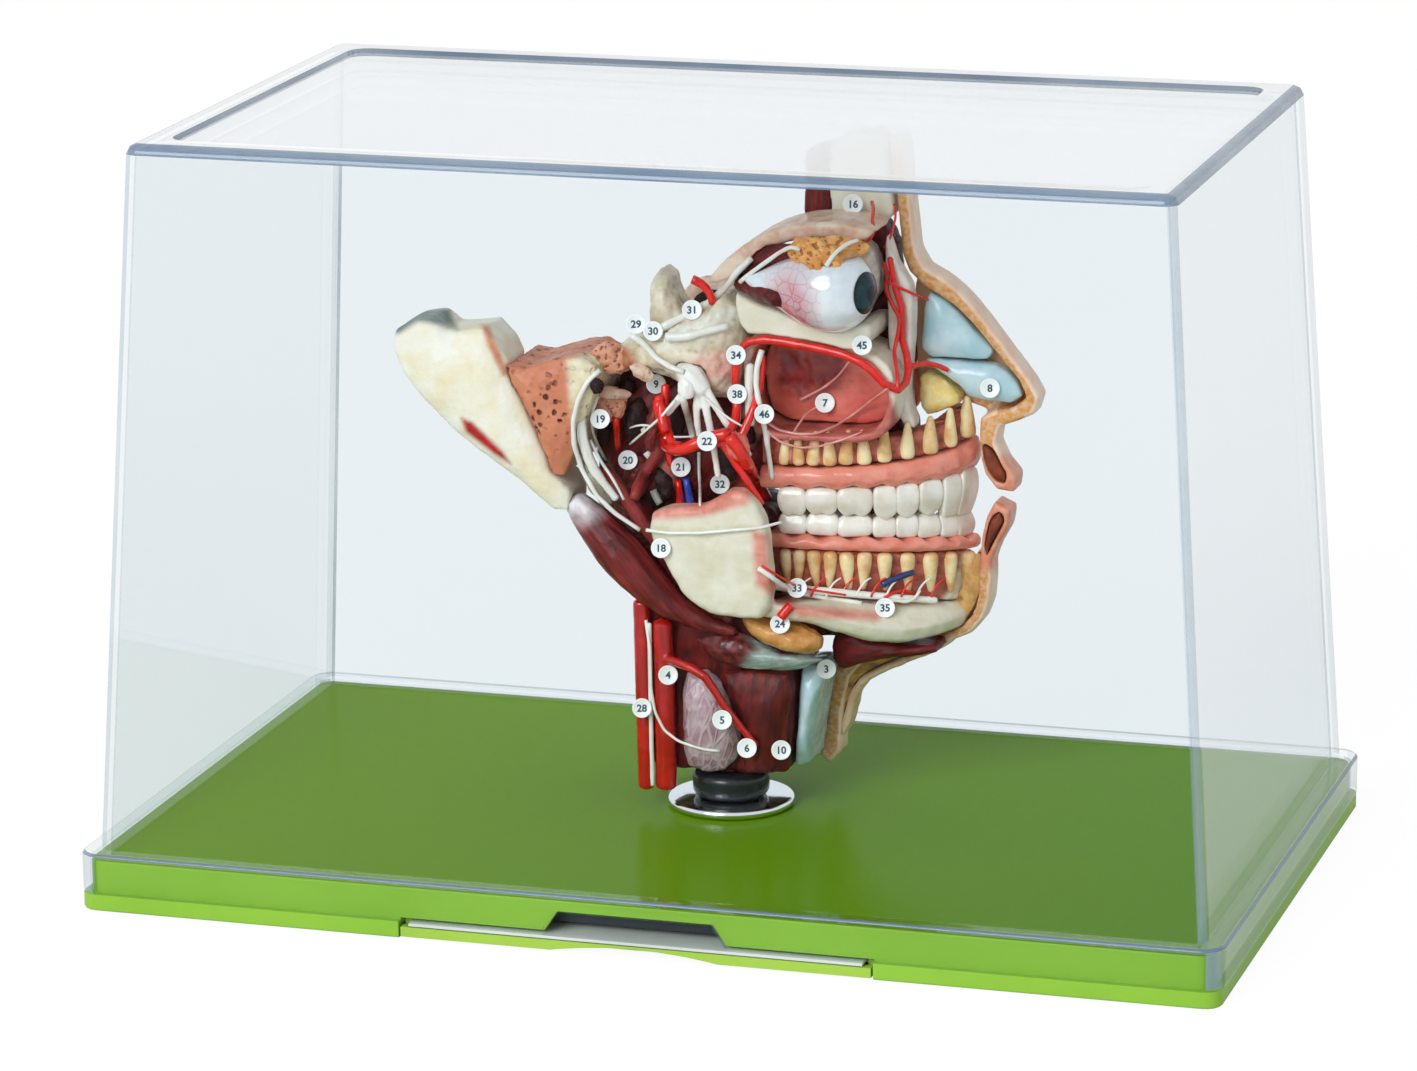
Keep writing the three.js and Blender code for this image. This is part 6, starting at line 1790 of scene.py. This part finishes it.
@dataclass(frozen=True)
class Lump:
    """A rounded mass that sits on what the camera sees; a dark one is painted shade that stands for a hollow."""

    name: str
    finish: Finish
    across: float
    down: float
    radii: Triple
    lean: float = 0.0
    lift: float = 0.0
    rough: float = 1.2
    spread: float = 0.0
    slot: Slot | None = None

    def build(self, sight: Sight) -> Piece:
        """Shapes the mass and sets it in place.

        Args:
            sight: The camera whose frame its place is given in.

        Returns:
            The finished piece.
        """
        far = min(
            sight.touch(self.across + self.spread * way, self.down + self.spread * rise)[2]
            for way, rise in ((0, 0), (-1, 0), (1, 0), (0, -1), (0, 1))
        )
        place = sight.place + sight.ray(self.across, self.down) * (far - self.lift * MM)
        turn = Matrix((sight.right, sight.up, -sight.ahead)).transposed().to_4x4()
        spin = Matrix.Rotation(math.radians(self.lean), 4, "Z")
        piece = lump(self.name, Matrix.Translation(place) @ turn @ spin, self.radii, self.rough)
        return Workbench.settle(piece, self.finish, slot=self.slot)


@dataclass(frozen=True)
class Relief:
    """A structure of the median section, which stands a little proud of the head's far side."""

    name: str
    finish: Finish
    along: float
    up: float
    radii: Triple
    lean: float = 0.0
    rough: float = 1.0
    slot: Slot | None = None
    grain: float = 7.0
    uneven: float = 0.12

    def build(self) -> None:
        """Shapes the structure and sets it on the section."""
        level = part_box("skull_core")[1].y
        place = Matrix.Translation((self.along * MM, level, self.up * MM))
        turn = Matrix.Rotation(math.radians(-self.lean), 4, "Y")
        piece = lump(self.name, place @ turn, self.radii, self.rough, self.grain, self.uneven)
        Workbench.settle(piece, self.finish, slot=self.slot)


# Dark masses of painted shade, set where canals, cavities and openings lie in shadow.
CAVITY_SHADE = replace(DARK_MUSCLE, name="hollow_dark", light="360a0b", mid="1c0406", deep="0a0102", stretch=1, fibre=0)
EAR_FLESH = replace(
    MUCOSA, name="ear_flesh", slot=Slot.MARROW, light="e0a080", mid="c4714f", deep="7a2f1e", coat=0.2,
)
SHEATH = replace(
    MUCOSA, name="nerve_sheath", slot=Slot.FLESH, light="a39a86", mid="6e675a", deep="322c24", coat=0.1,
)
ORBIT_FAT = replace(GLAND, name="orbit_fat", slot=Slot.FAT, light="f4b56a", mid="dd8c3e", deep="93481c", coat=0.3)
LUMPS = (
    Lump("ear_bone_lump", EAR_FLESH, 612, 358, (6.4, 4.6, 2.6), -14, -1.0, 2.4, 6),
    Lump("ear_bone_ledge", RIM_BONE, 642, 372, (3.8, 2.2, 2.2), -30, 0.2, 1.2, 5),
    Lump("ear_front_wall", EAR_FLESH, 607, 404, (6.0, 5.4, 1.8), 12, -0.6, 1.8, 9),
    Lump("ear_canal_bar", RIM_BONE, 612, 393, (5.6, 1.8, 2.0), -4, 1.2, 0.9, 10, Slot.MARROW),
    Lump("ear_canal_hollow", CAVITY_SHADE, 597, 386, (2.0, 2.4, 1.6), 0, 1.0, 0.4, 9),
    Lump("ear_drum_hollow", CAVITY_SHADE, 627, 386, (2.6, 2.2, 1.6), -20, 1.0, 0.5, 8),
    Lump("ear_under_hollow", CAVITY_SHADE, 604, 432, (2.0, 3.6, 1.4), 10, 0.8, 0.6, 6),
    Lump("neck_cavity_back", CAVITY_SHADE, 636, 418, (3.4, 5.8, 1.6), -14, 1.2, 0.6),
    Lump("neck_cavity_front", CAVITY_SHADE, 674, 420, (3.2, 5.6, 1.4), 4, 1.0, 0.6),
    Lump("neck_cavity_low", CAVITY_SHADE, 664, 484, (2.6, 5.0, 1.2), 12, 0.8, 0.6),
    Lump("cheek_cavity", CAVITY_SHADE, 728, 464, (2.4, 5.4, 1.2), 14, 0.8, 0.6),
    Lump("jaw_cavity", CAVITY_SHADE, 748, 432, (1.8, 4.0, 1.0), 20, 0.8, 0.5),
    Lump("cavity_wall", MUSCLE, 652, 428, (2.0, 7.0, 2.2), -8, 0.8),
    Lump("neck_flesh_back", MUSCLE, 636, 480, (4.0, 9.0, 2.4), -24, 0.4, 1.6),
    Lump("nerve_sheath", SHEATH, 595, 480, (2.8, 9.0, 1.8), 28, -2.4, 0.8),
    Lump("nerve_knot", NERVE, 686, 388, (2.6, 3.4, 1.8), 8, 0.6, 0.5),
    Lump("orbit_fat_front", ORBIT_FAT, 820, 256, (7.6, 4.4, 2.2), -24, -0.4, 2.2),
    Lump("orbit_fat_middle", ORBIT_FAT, 806, 250, (5.4, 3.6, 2.2), 16, -0.2, 2.2),
    Lump("orbit_fat_top", ORBIT_FAT, 842, 246, (8.0, 2.6, 2.2), -4, -0.2, 1.8),
    Lump("palate_lump", MUCOSA, 738, 446, (3.4, 4.2, 2.2), 18, 0.0),
)


NASAL_WALL = replace(MUCOSA, name="nasal_wall", light="a2433a", mid="7c2a26", deep="3a0d0d")
RELIEFS = (
    Relief("nasal_wall", NASAL_WALL, 22, 147, (27, 1.8, 21), 8, 1.2),
    Relief("concha_upper", MUCOSA, 14, 161, (12, 4.6, 2.7), -14, 0.8),
    Relief("concha_middle", MUCOSA, 19, 150, (17, 6.4, 3.4), -10, 0.8),
    Relief("concha_lower", MUCOSA, 22, 138, (20, 7.4, 4.0), -5, 0.8),
    Relief("nostril_fold", MUCOSA, 46, 141, (4.0, 3.6, 8.0), 12, 0.8),
    Relief("sphenoid_rim", RIM_BONE, -14, 161, (11, 2.2, 8.6), 10),
    Relief("sphenoid_sinus", CAVITY_SHADE, -14, 161, (8.4, 3.0, 6.0), 10, 0.8),
    Relief("hard_palate", BONE, 28, 122, (23, 3.2, 3.0), 2),
    Relief("soft_palate", MUCOSA, -2, 117, (13, 4.0, 3.8), 28),
    Relief("tube_rim", MUCOSA, -11, 138, (4.6, 2.6, 5.2), 20),
    Relief("tube_opening", CAVITY_SHADE, -11, 138, (2.2, 3.4, 3.0), 20, 0.5),
    Relief("throat_upper", CAVITY_SHADE, -21, 124, (3.4, 1.4, 13), -14, 0.8),
    Relief("tongue", GUM, 33, 97, (20, 5.0, 11), -6, 1.6, Slot.MUCOSA),
    Relief("tongue_muscle", MUSCLE, 34, 78, (16, 3.0, 10), 12, 1.6),
    Relief("tongue_root", MUSCLE, 10, 88, (6.5, 3.4, 12), -16, 1.6),
    Relief("epiglottis", CARTILAGE, 1, 86, (2.2, 3.4, 9), -18, 0.8),
    Relief("windpipe", CAVITY_SHADE, -6, 50, (4.2, 1.6, 22), -3, 0.8),
    Relief("larynx_front", CARTILAGE, 6, 52, (3.4, 3.6, 15), -5),
    Relief("larynx_back", CARTILAGE, -14, 56, (2.6, 3.2, 9), 4),
    Relief("gullet", MUCOSA, -20, 62, (3.0, 2.4, 32), 1),
    Relief("septum", CARTILAGE, 63, 149, (12, 2.4, 8.5), -38),
)


@dataclass(frozen=True)
class CutBand:
    """A layer of the cut face, swept in the plane of the section."""

    name: str
    finish: Painted
    route: tuple[Triple, ...]
    depth: float = 0.9
    rings: int = 60
    ease: int = 6
    grain: float = 3.0
    rough: float = 0.6

    def build(self, sight: Sight) -> Piece:
        """Sweeps a rounded bar along the route.

        Args:
            sight: The camera whose frame the route is given in, with half widths in millimetres.

        Returns:
            The finished piece.
        """
        low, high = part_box("lower_face_skin")
        level, deep = (low.y + high.y) / 2, (high.y - low.y) * self.depth
        path = []
        for across, down, _ in self.route:
            ray = sight.ray(across, down)
            path.append(sight.place + ray * ((level - sight.place.y) / ray.y))
        run = np.linspace(0, len(path) - 1, self.rings + 1)
        steps = np.arange(len(path))
        line = np.stack([np.interp(run, steps, [point[axis] for point in path]) for axis in range(3)], axis=1)
        for _ in range(self.ease):
            line[1:-1] = (line[:-2] + 2 * line[1:-1] + line[2:]) / 4
        girth = np.interp(run, steps, [width for _, _, width in self.route]) * MM
        girth *= np.sqrt(np.clip(np.minimum(run, run[::-1]) * 2 + 0.1, 0, 1))
        way = np.gradient(line, axis=0)
        side = np.stack([-way[:, 2], way[:, 0] * 0, way[:, 0]], axis=1)
        side /= np.linalg.norm(side, axis=1)[:, None]
        piece = Workbench.add(self.name, bpy.ops.mesh.primitive_cube_add, size=1, location=(0.5, 0, 0))
        Workbench.edit(piece, (bpy.ops.mesh.subdivide, {"number_cuts": self.rings - 1}))
        place = Workbench.points(piece)
        index = np.clip(np.round(place[:, 0] * self.rings), 0, self.rings).astype(int)
        spin = np.hypot(place[:, 1], place[:, 2]) + 1e-9
        square = (np.maximum(np.abs(place[:, 1]), np.abs(place[:, 2])) / spin) ** 0.5
        spot = line[index] + side[index] * (place[:, 2] * square * 2 * girth[index])[:, None]
        spot[:, 1] += place[:, 1] * square * deep
        Workbench.reshape(piece, spot)
        Workbench.edit(piece, WELD, FACE_OUT)
        Workbench.ruffle(piece, "CLOUDS", self.grain * MM, self.rough * MM)
        Workbench.smooth(piece)
        Workbench.mark_recesses(piece, 5, 0.0003)
        return Workbench.settle(piece, self.finish)


BANDS = (
    CutBand("chin_fat", CUT_FAT, (
        (983, 548, 1.2), (981, 562, 2.0), (976, 582, 3.0), (967, 602, 3.4), (951, 621, 3.2),
        (929, 635, 2.6), (904, 646, 2.2), (880, 656, 2.0), (860, 667, 2.2), (848, 682, 2.4), (842, 704, 2.2),
        (836, 730, 1.8),
    ), 0.9),
    CutBand("chin_skin", SKIN_EDGE, (
        (964, 628, 1.3), (938, 645, 1.3), (910, 656, 1.2), (885, 666, 1.2), (867, 676, 1.3), (857, 690, 1.3),
        (852, 708, 1.3), (847, 730, 1.2),
    ), 0.96),
)


@dataclass
class EyeBall:
    """Painted eyeball with a domed iris."""

    look: Triple = (0.955, -0.295, 0.03)
    iris_radius: float = 6.2
    iris_lift: float = 1.012
    iris_dome: float = 0.9
    narrowing: float = 0.66
    drawn_out: tuple[float, float] = (0.75, 0.45)
    tail_rise: float = 1.6
    flush_middle: float = -0.85
    grain: float = 9.0
    rough: float = 0.5

    def build(self) -> list[Piece]:
        """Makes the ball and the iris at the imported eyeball's place."""
        low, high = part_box("eyeball")
        middle = (low + high) / 2
        radius = min(high - low) / 2
        ball = Workbench.add(
            "eye_ball", bpy.ops.mesh.primitive_uv_sphere_add, segments=96, ring_count=64, radius=radius,
            location=middle,
        )
        for vertex in ball.data.vertices:
            behind = max(0.0, (middle.x - vertex.co.x) / radius)
            narrow = 1 - self.narrowing * behind**2.2
            vertex.co.x -= radius * (behind * self.drawn_out[0] + behind**2 * self.drawn_out[1])
            vertex.co.y = middle.y + (vertex.co.y - middle.y) * narrow
            vertex.co.z = middle.z + (vertex.co.z - middle.z) * narrow + self.tail_rise * MM * behind**2
        Workbench.ruffle(ball, "CLOUDS", self.grain * MM, self.rough * MM)
        Workbench.smooth(ball)
        place = (Workbench.points(ball) - np.array(middle)) / radius
        flush = np.clip(1.3 - np.abs(place[:, 0] - self.flush_middle) * 1.5, 0, 1)
        Workbench.mark(ball, "flush", flush * np.clip(0.9 - place[:, 2], 0, 1))
        Workbench.settle(ball, Eye(), node="eyeball")
        return [ball, self.iris(middle, radius * self.iris_lift)]

    def iris(self, middle: Vector, radius: float) -> Piece:
        """The iris as a low dome on the ball.

        Args:
            middle: The ball's centre.
            radius: The radius that the iris is cut at, a little more than the ball's.

        Returns:
            The iris.
        """
        cap = Workbench.add(
            "eye_iris_dome", bpy.ops.mesh.primitive_uv_sphere_add, segments=64, ring_count=96, radius=radius,
        )
        reach = self.iris_radius * MM
        edge = math.sqrt(radius**2 - reach**2)
        cutter = {"plane_co": (0, 0, edge), "plane_no": (0, 0, 1), "clear_inner": True, "use_fill": True}
        Workbench.edit(cap, (bpy.ops.mesh.bisect, cutter))
        for vertex in cap.data.vertices:
            share = min(1.0, math.hypot(vertex.co.x, vertex.co.y) / reach)
            vertex.co.z += self.iris_dome * MM * (1 - share**2)
        place = Workbench.points(cap)
        Workbench.mark(cap, "radius", np.hypot(place[:, 0], place[:, 1]) / reach)
        look = Vector(self.look).normalized().to_track_quat("Z", "Y").to_matrix().to_4x4()
        Workbench.fix(cap, Matrix.Translation(middle) @ look)
        Workbench.smooth(cap, 50)
        return Workbench.settle(cap, Iris())


@dataclass
class HeadModel:
    """The sectioned head: castings, eye, teeth, soft masses, vessels, median section and number tags."""

    sight: Sight

    def build(self) -> None:
        """Builds the head from its castings outwards."""
        made = [cast.build(self.sight) for cast in CASTS]
        log.info("%d castings", len(made))
        made += EyeBall().build()
        made += ToothRoots().build()
        made += Crowns().build()
        made += [band.build(self.sight) for band in BANDS]
        self.sight.watch(made)
        made += [mass.build(self.sight) for mass in LUMPS]
        self.sight.watch(made)
        made += [strand.build(self.sight) for strand in VESSELS]
        log.info("%d strands", len(VESSELS))
        for relief in RELIEFS:
            relief.build()
        self.sight.watch(made)
        NumberTags(self.sight).build()


# The studio

@dataclass
class Studio:
    """Plain pale floor and soft light."""

    world_level: float = 0.6
    sun_level: float = 2.1
    sun_place: Triple = (-0.5, -1.7, 1.0)
    sun_softness: float = 34

    def build(self) -> None:
        """Lays the floor, whitens the sky and hangs the lamp."""
        self.floor()
        self.sky()
        self.lamp()

    def floor(self) -> None:
        """A pale floor that keeps the object's shadow."""
        floor = Workbench.add("floor", bpy.ops.mesh.primitive_plane_add, size=12)
        bench = ShaderBench(bpy.data.materials.new("floor_pale"))
        grain = bench.noise(bench.place(), 0.05, 2)
        pale = bench.mix(grain, paint("f2f3f3"), paint("f6f7f7"))
        plain = bench.node(
            "ShaderNodeBsdfPrincipled", {}, {"Base Color": pale, "Roughness": 0.9, "Specular IOR Level": 0.1},
        )
        glow = bench.node("ShaderNodeEmission", {}, {"Color": (1, 1, 1, 1), "Strength": 1.02})
        path = bench.node("ShaderNodeLightPath", {}, {}, "Is Camera Ray")
        shown = bench.node("ShaderNodeMixShader", {}, {0: path * 0.92, 1: plain, 2: glow})
        floor.data.materials.append(bench.finish(shown))

    def sky(self) -> None:
        """White all round, plain to the camera and dimmer as a light."""
        bench = ShaderBench(bpy.data.worlds.new("studio_white"))
        rays = [bench.node("ShaderNodeLightPath", {}, {}, f"Is {kind} Ray") for kind in ("Camera", "Glossy")]
        level = bench.node(
            "ShaderNodeMapRange", {},
            {"Value": bench.math("MAXIMUM", *rays), "To Min": self.world_level, "To Max": 1.0}, "Result",
        )
        white = bench.node("ShaderNodeBackground", {}, {"Color": (1, 1, 1, 1), "Strength": level})
        bpy.context.scene.world = bench.finish(white, "ShaderNodeOutputWorld")

    def lamp(self) -> None:
        """A soft distant lamp that points at the object."""
        data = bpy.data.lights.new("key_lamp", "SUN")
        data.energy = self.sun_level
        data.angle = math.radians(self.sun_softness)
        lamp = Workbench.linked("key_lamp", data)
        lamp.location = self.sun_place
        lamp.rotation_euler = (-Vector(self.sun_place)).to_track_quat("-Z", "Y").to_euler()


def main() -> None:
    """Builds the scene in order."""
    logging.basicConfig(level=logging.INFO, format="%(message)s")
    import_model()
    bpy.context.scene.view_settings.view_transform = "Standard"
    sight = Sight()
    sight.camera()
    Studio().build()
    CarryingCase().build()
    Stand().build()
    HeadModel(sight).build()


if __name__ == "__main__":
    main()
